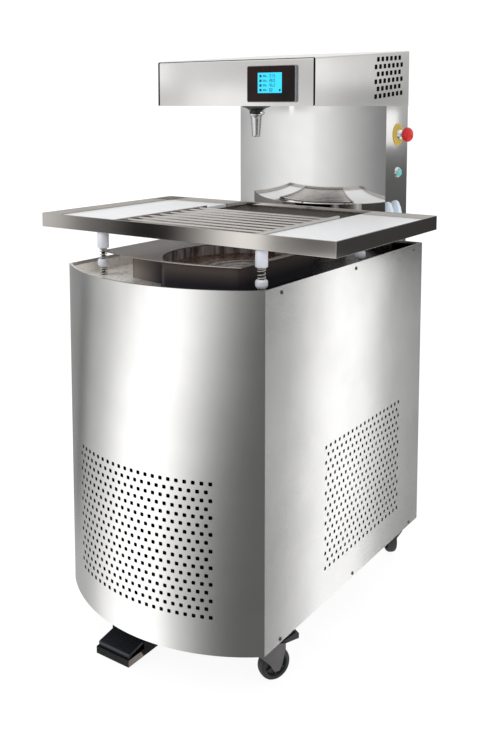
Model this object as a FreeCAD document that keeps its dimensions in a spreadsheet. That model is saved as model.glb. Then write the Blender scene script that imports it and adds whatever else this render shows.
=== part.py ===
"""Chocolate tempering machine on casters, in millimetres.

A sheet-steel cabinet with a bowed front carries a chocolate basin in a sunken well, a rear
column, an overhanging head with the outlet nozzle and the display, and a vibrating table
that floats on four sprung posts under the nozzle.  X is to the right as the user sees it,
Y goes from the user to the rear and Z is up.  The origin lies on the floor under the
middle of the machine.
"""
import FreeCAD, Part
import os
import re
import Sketcher
from FreeCAD import Rotation, Vector

# ---------------------------------------------------------------------------------------
# Driving dimensions
# ---------------------------------------------------------------------------------------
SIZES = {
    # Sheet metal and clearances
    "skin": 2, "seat_gap": 0.3, "running_gap": 0.3, "cutout_play": 3,
    # Cabinet
    "caster_height": 105, "cabinet_width": 568, "side_depth": 794, "cabinet_height": 800,
    "bow_rise": 102, "well_depth": 32, "well_lip": 24,
    "pan_plate": 3, "pan_rim": 30, "upright_leg": 30, "upright_plate": 3,
    # Chocolate basin
    "basin_rise": 65, "flange_half_width": 203, "flange_front": -352, "flange_back": 105,
    "flange_bow_rise": 36, "flange_plate": 2, "skirt_inset": 60, "mouth_arc_radius": 200,
    "mouth_centre_x": 135, "mouth_centre_y": -185, "mouth_right": 188, "mouth_lip": 9,
    "tank_wall": 2, "tank_depth": 230,
    # Agitator and its gear motor
    "agitator_x": 65, "agitator_y": -165, "agitator_shaft_radius": 9, "hub_radius": 17,
    "hub_length": 34, "hub_nose": 10, "paddle_reach": 98, "paddle_height": 26,
    "paddle_plate": 5, "paddle_slope": 12, "paddle_count": 3, "gearbox_width": 90,
    "gearbox_height": 80, "shaft_engagement": 24, "motor_radius": 38, "motor_length": 130,
    # Screw pump and chocolate pipes
    "pump_y": 340, "pump_bore_radius": 24, "pump_wall": 3, "pump_length": 700,
    "screw_core_radius": 8, "screw_play": 0.6, "screw_pitch": 60, "screw_turns": 2,
    "flight_plate": 4, "pipe_radius": 17, "pipe_wall": 2, "suction_rise": 34,
    "delivery_rise": 40, "shelf_plate": 3, "shelf_depth": 165,
    # Cooling unit
    "compressor_x": -130, "compressor_y": 120, "compressor_radius": 75,
    "compressor_height": 165, "compressor_dome": 40, "foot_height": 12, "foot_radius": 12,
    "condenser_x": 110, "condenser_y": -90, "condenser_width": 250,
    "condenser_height": 240, "condenser_depth": 44, "condenser_cheek": 6,
    "fan_radius": 92, "fan_hub_radius": 26, "fan_depth": 18, "fan_blades": 5,
    "blade_plate": 2.5, "fan_play": 6, "shroud_plate": 2, "shroud_depth": 34,
    "fan_motor_radius": 32, "fan_motor_length": 44, "fan_axle_radius": 4, "arm_width": 14,
    # Control box on the drive shelf
    "box_width": 150, "box_depth": 120, "box_height": 210, "box_round": 6,
    # Cable gland under the floor
    "gland_x": 120, "gland_y": 400, "gland_radius": 14, "gland_nose_radius": 10,
    "gland_length": 24, "gland_nut": 8, "gland_bore_radius": 5,
    # Column
    "column_half_width": 236, "column_side_depth": 137, "column_bow_rise": 70,
    # Head
    "column_height": 410, "head_front": -65, "head_front_height": 113,
    "head_rear_height": 152, "head_seam": 4, "head_return": 16,
    # Display
    "bezel_x": 117.5, "bezel_width": 137, "bezel_height": 87, "bezel_drop": 17,
    "bezel_depth": 8, "bezel_edge": 2, "screen_x": 115, "screen_width": 68,
    "screen_height": 48, "screen_drop": 34, "screen_pocket": 4, "screen_plate": 3,
    # Outlet
    "nozzle_y": 41, "collar_radius": 36, "collar_neck_radius": 20, "collar_depth": 10,
    "valve_radius": 17, "valve_height": 14, "valve_bore_radius": 12, "coil_radius": 5,
    "coil_length": 7, "nozzle_flange_radius": 15.5, "nozzle_flange": 3,
    "nozzle_top_radius": 14.5, "nozzle_tip_radius": 10.5, "nozzle_length": 54,
    "nozzle_wall": 2.5,
    # Stop button and start button
    "switch_y": 377, "stop_drop": 77, "stop_disc_radius": 30, "stop_disc_depth": 4,
    "stop_ring_radius": 13, "stop_ring_depth": 8, "stop_stem_radius": 8,
    "stop_head_radius": 20, "stop_head_depth": 24, "stop_head_out": 19, "stop_travel": 4,
    "button_pitch": 103, "start_ring_radius": 14, "start_ring_depth": 7,
    "start_cap_radius": 10, "start_cap_depth": 9, "start_travel": 2,
    # Connectors on the column
    "connector_y": 324, "connector_pitch": 48, "connector_width": 28, "connector_low": 88,
    "connector_height": 65, "connector_depth": 18, "connector_slope": 5,
    "connector_crown": 16, "connector_taper": 6,
    # Vibrating table
    "table_half_width": 424, "table_front": -301, "table_back": 211, "table_gap": 106,
    "table_height": 35, "table_sheet": 3, "ledge_drop": 21, "ledge_sheet": 2,
    "ledge_width": 20, "rail_x": 213, "rail_width": 18, "pad_width": 36,
    "rear_ledge_depth": 108, "board_thickness": 10, "insert_play": 1,
    # Grille
    "rod_radius": 4, "rod_first": 37, "rod_pitch": 41.3, "rod_count": 9,
    "side_bar_width": 8, "side_bar_height": 16, "rod_rise": 10,
    # Sprung posts
    "post_x": 232, "post_front": -282, "post_back": 176, "stud_radius": 5,
    "stud_headroom": 8, "bush_radius": 14, "bush_edge": 2, "upper_bush": 40,
    "lower_bush": 20, "lower_spring": 19.5, "spring_radius": 8.6, "spring_wire": 2.4,
    "spring_turns": 2,
    # Vibration motor under the table
    "shaker_y": 157, "shaker_radius": 30, "shaker_length": 90, "shaker_foot": 12,
    "shaker_foot_width": 60, "shaker_shaft_radius": 6, "weight_radius": 22,
    "weight_depth": 14, "shaker_cap": 26, "cap_wall": 2,
    # Pedal
    "pedal_x": -85, "pedal_half_width": 50, "pedal_front": -427, "pedal_back": -297,
    "pedal_floor": 4, "pedal_wall": 17, "pedal_sheet": 2, "ear_front": -372,
    "ear_back": -352, "ear_height": 44, "pivot_y": -362, "pivot_height": 38,
    "pivot_radius": 3, "tread_tip": -422, "tread_tip_height": 32, "tread_heel_height": 44,
    "tread_heel": -355, "tread_thickness": 7, "tread_lip": 9,
    "foot_switch_front": -348, "foot_switch_height": 56, "foot_switch_round": 7,
    # Casters
    "swivel_side": 46, "swivel_inset": 56, "wheel_radius": 37.5, "wheel_width": 25,
    "tread_round": 5, "rim_radius": 27, "rim_recess": 4, "boss_radius": 11,
    "axle_radius": 4, "wheel_play": 1.5, "fork_plate": 3, "caster_trail": 32,
    "caster_plate": 3, "caster_plate_length": 90, "caster_plate_width": 75,
    "race_radius": 27, "race_depth": 12, "kingpin_radius": 6, "cheek_radius": 13,
    "crown_depth": 5, "cheek_tail": 54, "lever_pin_x": 46, "lever_pin_drop": 24,
    "lever_pin_radius": 3, "lever_boss_radius": 6, "lever_reach": 90, "lever_plate": 8,
    "turn_front_right": 62, "turn_front_left": 160, "turn_rear_right": 135,
    "turn_rear_left": 130,
}

# Places worked out from the driving dimensions, as expressions of the sheet's names
BASE = "caster_height"
RIM = "(caster_height + cabinet_height)"
WELL = "(caster_height + cabinet_height - well_depth)"
HALF = "(cabinet_width / 2)"
REAR = "((side_depth + bow_rise) / 2)"
APEX = "(-(side_depth + bow_rise) / 2)"
CORNER = "((bow_rise - side_depth) / 2)"
PAN = "(caster_height + pan_plate)"
FLANGE = "(%s + basin_rise)" % WELL
TANK_LOW = "(%s - tank_depth)" % FLANGE
HEAD = "(%s + column_height)" % WELL
HEAD_TOP = "(%s + head_front_height)" % HEAD
TABLE = "(%s + table_gap)" % WELL
TABLE_TOP = "(%s + table_height)" % TABLE
LEDGE = "(%s - ledge_drop)" % TABLE_TOP
COLUMN_BACK = "(%s - skin)" % REAR
COLUMN_FRONT = "(%s - column_side_depth)" % COLUMN_BACK
COLUMN_APEX = "(%s - column_bow_rise)" % COLUMN_FRONT
PUMP_TOP = "(%s + skin + delivery_rise + pipe_radius + pump_wall)" % HEAD
PUMP_LOW = "(%s - pump_length)" % PUMP_TOP
DRIVE_SHELF = "(%s - gearbox_height - motor_length)" % PUMP_LOW
PEDAL_LEFT = "(pedal_x - pedal_half_width)"
PEDAL_RIGHT = "(pedal_x + pedal_half_width)"

doc = FreeCAD.newDocument("chocolate_tempering_machine")
sheet = doc.addObject("Spreadsheet::Sheet", "Sizes")
for row, (alias, number) in enumerate(SIZES.items(), start=1):
    sheet.set("A%d" % row, alias.replace("_", " "))
    sheet.set("B%d" % row, str(number))
    sheet.setAlias("B%d" % row, alias)
doc.recompute()

PARTS = []          # the objects that are written as sub-parts


# ---------------------------------------------------------------------------------------
# Helpers
# ---------------------------------------------------------------------------------------
def size(text):
    """The present value of an expression of the sheet's names."""
    return float(sheet.evalExpression(text))


def tied(text):
    """The expression as other objects write it, with each name read from the sheet."""
    return re.sub(r"[a-z]\w*",
                  lambda word: "Sizes." + word.group() if word.group() in SIZES
                  else word.group(), text)


def place(thing, x="0", y="0", z="0"):
    """Bind an object's position to three expressions."""
    for axis, where in zip("xyz", (x, y, z)):
        thing.setExpression(".Placement.Base." + axis, tied(where))
    return thing


def around(centre, width):
    """The low and high ends of a width about a centre."""
    return "%s - %s / 2" % (centre, width), "%s + %s / 2" % (centre, width)


def block(name, x, y, z):
    """A box between three pairs of low and high coordinates."""
    thing = doc.addObject("Part::Box", name)
    for side, (low, high) in zip(("Length", "Width", "Height"), (x, y, z)):
        thing.setExpression(side, tied("(%s) - (%s)" % (high, low)))
    return place(thing, x[0], y[0], z[0])


TURNS = {"x": Rotation(Vector(0, 1, 0), 90), "y": Rotation(Vector(1, 0, 0), -90),
         "z": Rotation()}


def rod(name, radius, at, span, axis="z"):
    """A cylinder along an axis: at holds its two other coordinates in X, Y, Z order."""
    thing = doc.addObject("Part::Cylinder", name)
    thing.setExpression("Radius", tied(radius))
    thing.setExpression("Height", tied("(%s) - (%s)" % (span[1], span[0])))
    thing.Placement.Rotation = TURNS[axis]
    where = list(at)
    where.insert("xyz".index(axis), span[0])
    return place(thing, *where)


def joined(name, *things):
    """The union of several objects."""
    thing = doc.addObject("Part::MultiFuse", name)
    thing.Shapes = list(things)
    thing.Refine = True
    return thing


def shared(name, *things):
    """The space that several objects have in common."""
    thing = doc.addObject("Part::MultiCommon", name)
    thing.Shapes = list(things)
    thing.Refine = True
    return thing


def cut(name, base, *tools):
    """The base without the tools."""
    thing = doc.addObject("Part::Cut", name)
    thing.Base = base
    thing.Tool = tools[0] if len(tools) == 1 else joined(name + "_tools", *tools)
    thing.Refine = True
    return thing


def group(name, *things):
    """Separate solids that share one sub-part."""
    thing = doc.addObject("Part::Compound", name)
    thing.Links = list(things)
    return thing


def mirrored(name, source):
    """The mirror image of an object, left for right."""
    thing = doc.addObject("Part::Mirroring", name)
    thing.Source = source
    thing.Normal = Vector(1, 0, 0)
    return thing


def part(label, thing):
    """Keep an object as a sub-part under its own label."""
    thing.Label = label
    PARTS.append(thing)
    return thing


def outline(body, name, points, plane="XZ_Plane"):
    """A closed sketch in a body through points given as pairs of expressions."""
    sketch = body.newObject("Sketcher::SketchObject", name)
    origin = next(f for f in body.Origin.OriginFeatures if f.Role == plane)
    sketch.AttachmentSupport = [(origin, "")]
    sketch.MapMode = "FlatFace"
    places = [Vector(size(across), size(up), 0) for across, up in points]
    count = len(points)
    for index in range(count):
        sketch.addGeometry(Part.LineSegment(places[index], places[(index + 1) % count]))
    for index in range(count):
        sketch.addConstraint(Sketcher.Constraint("Coincident", index, 2,
                                                 (index + 1) % count, 1))
    for index, (across, up) in enumerate(points):
        for kind, value in (("DistanceX", across), ("DistanceY", up)):
            number = sketch.addConstraint(
                Sketcher.Constraint(kind, -1, 1, index, 1, size(value)))
            sketch.setExpression("Constraints[%d]" % number, tied(value))
    return sketch


def turned(name, points, plane="XZ_Plane"):
    """A body turned about its upright sketch axis from points of radius and height."""
    body = doc.addObject("PartDesign::Body", name)
    sketch = outline(body, name + "_profile", points, plane)
    turn = body.newObject("PartDesign::Revolution", name + "_turn")
    turn.Profile = sketch
    turn.ReferenceAxis = (sketch, ["V_Axis"])
    turn.Angle = 360
    return body


def padded(name, points, depth, plane="XZ_Plane"):
    """A body whose outline is padded half its depth to each side of an origin plane."""
    body = doc.addObject("PartDesign::Body", name)
    sketch = outline(body, name + "_profile", points, plane)
    pad = body.newObject("PartDesign::Pad", name + "_pad")
    pad.Profile = sketch
    pad.setExpression("Length", tied(depth))
    pad.Midplane = True
    return body


def repeated_about_axis(body, feature, count):
    """Repeat a feature evenly about its body's Z axis."""
    pattern = body.newObject("PartDesign::PolarPattern", feature.Name + "_pattern")
    pattern.Originals = [feature]
    pattern.Axis = (next(f for f in body.Origin.OriginFeatures if f.Role == "Z_Axis"), [""])
    pattern.Angle = 360
    pattern.setExpression("Occurrences", tied(count))
    body.Tip = pattern
    return pattern


def bowed(name, half_width, rise, front, back, z, inset="0"):
    """A prism with flat sides, a flat back and a front bowed to one arc.

    half_width and rise set the arc at the prism's own outer edge, where the middle of the
    front is at front.  inset moves the arc and both sides inwards; back stays as given.
    """
    radius = "(((%s)^2 + (%s)^2) / (2 * %s))" % (half_width, rise, rise)
    centre = "(%s + %s)" % (front, radius)
    sides = ("%s - %s" % (inset, half_width), "%s - %s" % (half_width, inset))
    arc = rod(name + "_arc", "%s - %s" % (radius, inset), ("0", centre), z)
    low, high = z
    rear = block(name + "_rear", sides, (centre, "max(%s; %s + 1)" % (back, centre)), z)
    trim = block(name + "_trim", sides, ("%s - 1" % front, back),
                 ("%s - 1" % low, "%s + 1" % high))
    return shared(name, joined(name + "_plan", arc, rear), trim)


# ---------------------------------------------------------------------------------------
# Cabinet
# ---------------------------------------------------------------------------------------
def cabinet_prism(name, inset, z, back):
    """The cabinet's plan, with its sides and bowed front moved inwards by inset."""
    return bowed(name, HALF, "bow_rise", APEX, back, z, inset)


def upright(name, y, notch_y):
    """An angle post in the pan's right corner."""
    inner = "(%s - skin - pan_plate)" % HALF
    z = (PAN, "%s - skin" % WELL)
    post = block(name + "_bar", ("%s - upright_leg" % inner, inner), y, z)
    notch = block(name + "_notch",
                  ("%s - upright_leg - 1" % inner, "%s - upright_plate" % inner), notch_y,
                  ("%s - 1" % z[0], "%s + 1" % z[1]))
    return cut(name, post, notch)


def cabinet():
    """Floor pan, uprights, sunken well plate and the skins."""
    pan_top = "%s + pan_rim" % BASE
    pan = cut("pan", cabinet_prism("pan_outer", "skin", (BASE, pan_top), COLUMN_BACK),
              cabinet_prism("pan_inner", "(skin + pan_plate)", (PAN, "%s + 1" % pan_top),
                            "%s - pan_plate" % COLUMN_BACK),
              rod("pan_cable_hole", "gland_bore_radius", ("gland_x", "gland_y"),
                  ("%s - 1" % BASE, "%s + 1" % PAN)))
    part("floor_pan", pan)

    front = "(%s + 2 * skin)" % CORNER
    rear = "(%s - pan_plate)" % COLUMN_BACK
    legs = [upright("front_upright", (front, "%s + upright_leg" % front),
                    ("%s + upright_plate" % front, "%s + upright_leg + 1" % front)),
            upright("rear_upright", ("%s - upright_leg" % rear, rear),
                    ("%s - upright_leg - 1" % rear, "%s - upright_plate" % rear))]
    legs += [mirrored(leg.Name + "_mirror", leg) for leg in legs]
    part("frame_uprights", group("uprights", *legs))

    # The well plate is sunk below the rim, with a lip turned up inside the skins.
    low, lip = "(%s - skin)" % WELL, "(%s + well_lip)" % WELL
    tray = cut("well_tray", cabinet_prism("well_outer", "skin", (low, lip), COLUMN_BACK),
               cabinet_prism("well_inner", "(2 * skin)", (WELL, "%s + 1" % lip),
                             "%s + 1" % REAR))
    through = ("%s - 1" % low, "%s + 1" % WELL)
    part("well_plate",
         cut("well", tray, tank_prism("well_tank_hole", "(tank_wall + cutout_play)", through),
             rod("well_pump_hole", "pump_bore_radius + pump_wall + cutout_play",
                 ("0", "pump_y"), through)))

    part("left_side_panel", block("left_sheet", ("-%s" % HALF, "skin - %s" % HALF),
                                  (CORNER, REAR), (BASE, RIM)))
    part("right_side_panel", block("right_sheet", ("%s - skin" % HALF, HALF),
                                   (CORNER, REAR), (BASE, RIM)))
    part("front_skin",
         cut("front_shell", cabinet_prism("front_outer", "0", (BASE, RIM), CORNER),
             cabinet_prism("front_inner", "skin", ("%s - 1" % BASE, "%s + 1" % RIM),
                           "%s + 1" % CORNER)))
    part("rear_panel", block("rear_sheet", ("skin - %s" % HALF, "%s - skin" % HALF),
                             (COLUMN_BACK, REAR), (BASE, RIM)))


# ---------------------------------------------------------------------------------------
# Basin and agitator
# ---------------------------------------------------------------------------------------
def flange_prism(name, inset, z):
    """The basin flange's plan, moved inwards by inset on every side."""
    return bowed(name, "flange_half_width", "flange_bow_rise", "flange_front",
                 "flange_back - %s" % inset, z, inset)


def tank_prism(name, grow, z):
    """The tank's plan: one large arc, cut off by the bowed lip and a flat right side."""
    arc = rod(name + "_arc", "mouth_arc_radius + %s" % grow,
              ("mouth_centre_x", "mouth_centre_y"), z)
    lip = flange_prism(name + "_lip", "(mouth_lip - %s)" % grow, z)
    side = block(name + "_side", ("-flange_half_width", "mouth_right + %s" % grow),
                 ("flange_front", "flange_back"), z)
    return shared(name, arc, lip, side)


def gear_motor(name, x, y, top, shaft_radius):
    """A gearbox with its motor hanging below, bored for the shaft that it turns."""
    box_z = ("%s - gearbox_height" % top, top)
    box = block(name + "_gearbox", around(x, "gearbox_width"), around(y, "gearbox_width"),
                box_z)
    motor = rod(name + "_motor", "motor_radius", (x, y),
                ("%s - motor_length" % box_z[0], box_z[0]))
    bore = rod(name + "_bore", "%s + running_gap" % shaft_radius, (x, y),
               ("%s - shaft_engagement - running_gap" % top, "%s + 1" % top))
    return cut(name, joined(name + "_body", box, motor), bore)


def agitator():
    """Hub and shaft turned in one piece, with sloping paddles about it."""
    floor = "(tank_wall + seat_gap)"
    hub_top = "(%s + hub_length)" % floor
    body = turned("agitator_body", [
        ("0", "-shaft_engagement"), ("agitator_shaft_radius", "-shaft_engagement"),
        ("agitator_shaft_radius", floor), ("hub_radius", floor), ("hub_radius", hub_top),
        ("hub_radius / 2", "%s + hub_nose" % hub_top), ("0", "%s + hub_nose" % hub_top)])
    low, high = floor, "(%s + paddle_height)" % floor
    sketch = outline(body, "paddle_section", [
        ("-paddle_slope / 2 - paddle_plate / 2", low),
        ("-paddle_slope / 2 + paddle_plate / 2", low),
        ("paddle_slope / 2 + paddle_plate / 2", high),
        ("paddle_slope / 2 - paddle_plate / 2", high)], "YZ_Plane")
    paddle = body.newObject("PartDesign::Pad", "paddle")
    paddle.Profile = sketch
    paddle.setExpression("Length", tied("paddle_reach"))
    repeated_about_axis(body, paddle, "paddle_count")
    part("agitator", place(body, "agitator_x", "agitator_y", TANK_LOW))


def basin():
    """Flange, skirt and tank in one welded piece, then what stirs the chocolate."""
    rim = (FLANGE, "(%s + flange_plate)" % FLANGE)
    skirt = cut("skirt", flange_prism("skirt_outer", "skirt_inset", (WELL, FLANGE)),
                flange_prism("skirt_inner", "(skirt_inset + tank_wall)",
                             ("%s - 1" % WELL, "%s + 1" % FLANGE)))
    body = joined("basin_body", flange_prism("flange", "0", rim), skirt,
                  tank_prism("tank_outer", "tank_wall", (TANK_LOW, rim[1])))
    part("basin", cut("basin_shell", body,
                      tank_prism("tank_hollow", "0",
                                 ("%s + tank_wall" % TANK_LOW, "%s + 1" % rim[1])),
                      rod("tank_shaft_hole", "agitator_shaft_radius + running_gap",
                          ("agitator_x", "agitator_y"),
                          ("%s - 1" % TANK_LOW, "%s + tank_wall + 1" % TANK_LOW))))
    agitator()
    part("agitator_gearmotor", gear_motor("agitator_drive", "agitator_x", "agitator_y",
                                          TANK_LOW, "agitator_shaft_radius"))


# ---------------------------------------------------------------------------------------
# Screw pump and chocolate pipes
# ---------------------------------------------------------------------------------------
def pump_screw():
    """A core shaft with one helical flight, read from the sheet."""
    radius = size("pump_bore_radius - screw_play")
    core = size("screw_core_radius")
    pitch, turns = size("screw_pitch"), size("screw_turns")
    plate = size("flight_plate")
    start = size("%s + flight_plate" % PUMP_LOW)
    length = pitch * turns
    spine = Part.makeHelix(pitch, length, radius)
    corners = [Vector(x, 0, z) for x, z in ((core - 1, 0), (radius, 0), (radius, plate),
                                            (core - 1, plate))]
    section = Part.makePolygon(corners + corners[:1])
    flight = Part.Wire(spine.Edges).makePipeShell([section], True, True)
    flight.translate(Vector(0, 0, start))
    low = size("%s - shaft_engagement" % PUMP_LOW)
    shaft = Part.makeCylinder(core, start + length + 2 * plate - low, Vector(0, 0, low))
    screw = doc.addObject("Part::Feature", "screw")
    screw.Shape = shaft.fuse(flight).removeSplitter()
    return place(screw, "0", "pump_y", "0")


def pump():
    """Screw pump behind the tank, lifting chocolate through the column to the head."""
    outer = "(pump_bore_radius + pump_wall)"
    mouth_z = "(%s + suction_rise)" % TANK_LOW
    delivery_z = "(%s + skin + delivery_rise)" % HEAD
    inner = "(pipe_radius - pipe_wall)"
    tube = cut("pump_barrel",
               rod("pump_outer", outer, ("0", "pump_y"), (PUMP_LOW, PUMP_TOP)),
               rod("pump_bore", "pump_bore_radius", ("0", "pump_y"),
                   ("%s - 1" % PUMP_LOW, "%s - pump_wall" % PUMP_TOP)),
               rod("pump_inlet", inner, ("0", mouth_z), ("nozzle_y", "pump_y"), "y"),
               rod("pump_outlet", inner, ("0", delivery_z), ("nozzle_y", "pump_y"), "y"))
    part("pump_tube", tube)
    part("pump_screw", pump_screw())
    part("pump_gearmotor", gear_motor("pump_drive", "0", "pump_y", PUMP_LOW,
                                     "screw_core_radius"))

    around_tube = rod("pump_seat", "%s + seat_gap" % outer, ("0", "pump_y"),
                      (TANK_LOW, "%s + 1" % PUMP_TOP))
    around_tank = tank_prism("tank_seat", "(tank_wall + seat_gap)",
                             (TANK_LOW, "%s + pipe_radius + 1" % mouth_z))
    start, end = "mouth_centre_y", "pump_y"
    suction = cut("suction", rod("suction_outer", "pipe_radius", ("0", mouth_z),
                                 (start, end), "y"),
                  rod("suction_bore", inner, ("0", mouth_z),
                      ("%s - 1" % start, "%s + 1" % end), "y"), around_tube, around_tank)
    elbow = joined("delivery_outer",
                   rod("delivery_run", "pipe_radius", ("0", delivery_z),
                       ("nozzle_y", end), "y"),
                   rod("delivery_drop", "pipe_radius", ("0", "nozzle_y"),
                       (HEAD, delivery_z)),
                   sphere("delivery_elbow", "pipe_radius", "0", "nozzle_y", delivery_z))
    delivery = cut("delivery", elbow,
                   rod("delivery_bore", inner, ("0", delivery_z),
                       ("nozzle_y", "%s + 1" % end), "y"),
                   rod("delivery_drop_bore", inner, ("0", "nozzle_y"),
                       ("%s - 1" % HEAD, delivery_z)),
                   sphere("delivery_elbow_bore", inner, "0", "nozzle_y", delivery_z),
                   around_tube)
    part("chocolate_pipes", group("pipes", suction, delivery))


def sphere(name, radius, x, y, z):
    """A ball about a point."""
    thing = doc.addObject("Part::Sphere", name)
    thing.setExpression("Radius", tied(radius))
    return place(thing, x, y, z)


# ---------------------------------------------------------------------------------------
# Cooling unit, control box and what carries the drives
# ---------------------------------------------------------------------------------------
def cooling():
    """Compressor, condenser and its fan on the floor pan."""
    top = "(foot_height + compressor_height)"
    shoulder = "(%s - compressor_dome)" % top
    can = turned("compressor_can", [
        ("0", "foot_height"), ("compressor_radius * 0.8", "foot_height"),
        ("compressor_radius", "foot_height + compressor_dome / 2"),
        ("compressor_radius", shoulder), ("compressor_radius * 0.8", "%s - 8" % top),
        ("compressor_radius * 0.4", top), ("0", top)])
    foot_sketch = outline(can, "foot_outline", [
        ("compressor_radius - foot_radius", "-foot_radius"),
        ("compressor_radius + foot_radius", "-foot_radius"),
        ("compressor_radius + foot_radius", "foot_radius"),
        ("compressor_radius - foot_radius", "foot_radius")], "XY_Plane")
    foot = can.newObject("PartDesign::Pad", "compressor_foot")
    foot.Profile = foot_sketch
    foot.setExpression("Length", tied("foot_height + compressor_dome / 2"))
    repeated_about_axis(can, foot, "3")
    part("compressor", place(can, "compressor_x", "compressor_y", PAN))

    x = around("condenser_x", "condenser_width")
    back = "(condenser_y + condenser_depth)"
    z = (PAN, "(%s + condenser_height)" % PAN)
    core = block("condenser_core", ("%s + condenser_cheek" % x[0], "%s - condenser_cheek" % x[1]),
                 ("condenser_y + condenser_cheek", "%s - condenser_cheek" % back), z)
    cheeks = [block("condenser_cheek_low", (x[0], "%s + condenser_cheek" % x[0]),
                    ("condenser_y", back), z),
              block("condenser_cheek_high", ("%s - condenser_cheek" % x[1], x[1]),
                    ("condenser_y", back), z)]
    part("condenser", joined("condenser_block", core, *cheeks))

    # The shroud stands behind the condenser and carries the fan motor on two arms.
    middle = "(%s + condenser_height / 2)" % PAN
    end = "(%s + shroud_depth)" % back
    hood = cut("shroud_hood", block("shroud_box", x, (back, end), z),
               block("shroud_hollow", ("%s + shroud_plate" % x[0], "%s - shroud_plate" % x[1]),
                     ("%s - 1" % back, "%s - shroud_plate" % end),
                     ("%s + shroud_plate" % z[0], "%s - shroud_plate" % z[1])),
               rod("shroud_mouth", "fan_radius + fan_play", ("condenser_x", middle),
                   (back, "%s + 1" % end), "y"))
    motor_y = (end, "%s + fan_motor_length" % end)
    arms = block("fan_arms", x, (end, "%s + arm_width / 2" % end),
                 around(middle, "arm_width"))
    motor = rod("fan_motor", "fan_motor_radius", ("condenser_x", middle), motor_y, "y")
    bore = rod("fan_motor_bore", "fan_axle_radius + running_gap", ("condenser_x", middle),
               ("%s - 1" % end, "%s + fan_motor_length / 2" % end), "y")
    part("fan_shroud", cut("shroud", joined("shroud_body", hood, arms, motor), bore))

    # The fan lies in the shroud's mouth: its own Z axis points back to the motor.
    fan = turned("fan", [
        ("0", "0"), ("fan_hub_radius * 0.8", "0"), ("fan_hub_radius", "fan_depth / 4"),
        ("fan_hub_radius", "fan_depth"), ("fan_axle_radius", "fan_depth"),
        ("fan_axle_radius", "fan_depth + fan_motor_length / 3"),
        ("0", "fan_depth + fan_motor_length / 3")])
    section = outline(fan, "blade_section", [
        ("-fan_hub_radius / 2", "0"), ("-fan_hub_radius / 2 + blade_plate", "0"),
        ("fan_hub_radius / 2", "fan_depth"),
        ("fan_hub_radius / 2 - blade_plate", "fan_depth")], "YZ_Plane")
    blade = fan.newObject("PartDesign::Pad", "fan_blade")
    blade.Profile = section
    blade.setExpression("Length", tied("fan_radius"))
    repeated_about_axis(fan, blade, "fan_blades")
    fan.Placement.Rotation = TURNS["y"]
    part("condenser_fan", place(fan, "condenser_x", "%s - seat_gap - fan_depth" % end, middle))


def drives_shelf():
    """A shelf between the side panels carries the pump drive and the control box."""
    back = "(%s - pan_plate - upright_leg)" % COLUMN_BACK
    inside = "(%s - skin)" % HALF
    part("drive_shelf", block("shelf_sheet", ("-%s" % inside, inside),
                              ("%s - shelf_depth" % back, back),
                              ("%s - shelf_plate" % DRIVE_SHELF, DRIVE_SHELF)))
    left = "(-%s + upright_leg)" % inside
    box = doc.addObject("Part::Fillet", "control_case")
    box.Base = block("control_block", (left, "%s + box_width" % left),
                     ("%s - box_depth" % back, back),
                     (DRIVE_SHELF, "%s + box_height" % DRIVE_SHELF))
    box.Edges = [(edge, size("box_round"), size("box_round")) for edge in (1, 3, 5, 7)]
    part("control_box", box)

    gland = turned("gland", [
        ("gland_bore_radius", "0"), ("gland_radius", "0"), ("gland_radius", "-gland_nut"),
        ("gland_nose_radius", "-gland_nut"), ("gland_nose_radius", "-gland_length + 2"),
        ("gland_nose_radius - 2", "-gland_length"), ("gland_bore_radius", "-gland_length")])
    part("cable_gland", place(gland, "gland_x", "gland_y", BASE))


# ---------------------------------------------------------------------------------------
# Column and head
# ---------------------------------------------------------------------------------------
def column():
    """A polished bowed front on a channel that is open to the front."""
    width = "column_half_width"
    z = (WELL, HEAD)
    tall = ("%s - 1" % WELL, "%s + 1" % HEAD)
    front = cut("column_sheet",
                bowed("column_outer", width, "column_bow_rise", COLUMN_APEX, COLUMN_FRONT, z),
                bowed("column_inner", width, "column_bow_rise", COLUMN_APEX,
                      "%s + 1" % COLUMN_FRONT, tall, "skin"))
    part("column_front", front)
    channel = cut("column_channel",
                  block("channel_outer", ("-column_half_width", width),
                        (COLUMN_FRONT, COLUMN_BACK), z),
                  block("channel_inner", ("skin - column_half_width", "column_half_width - skin"),
                        ("%s - 1" % COLUMN_FRONT, "%s - skin" % COLUMN_BACK), tall))
    part("column_shell", channel)


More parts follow.
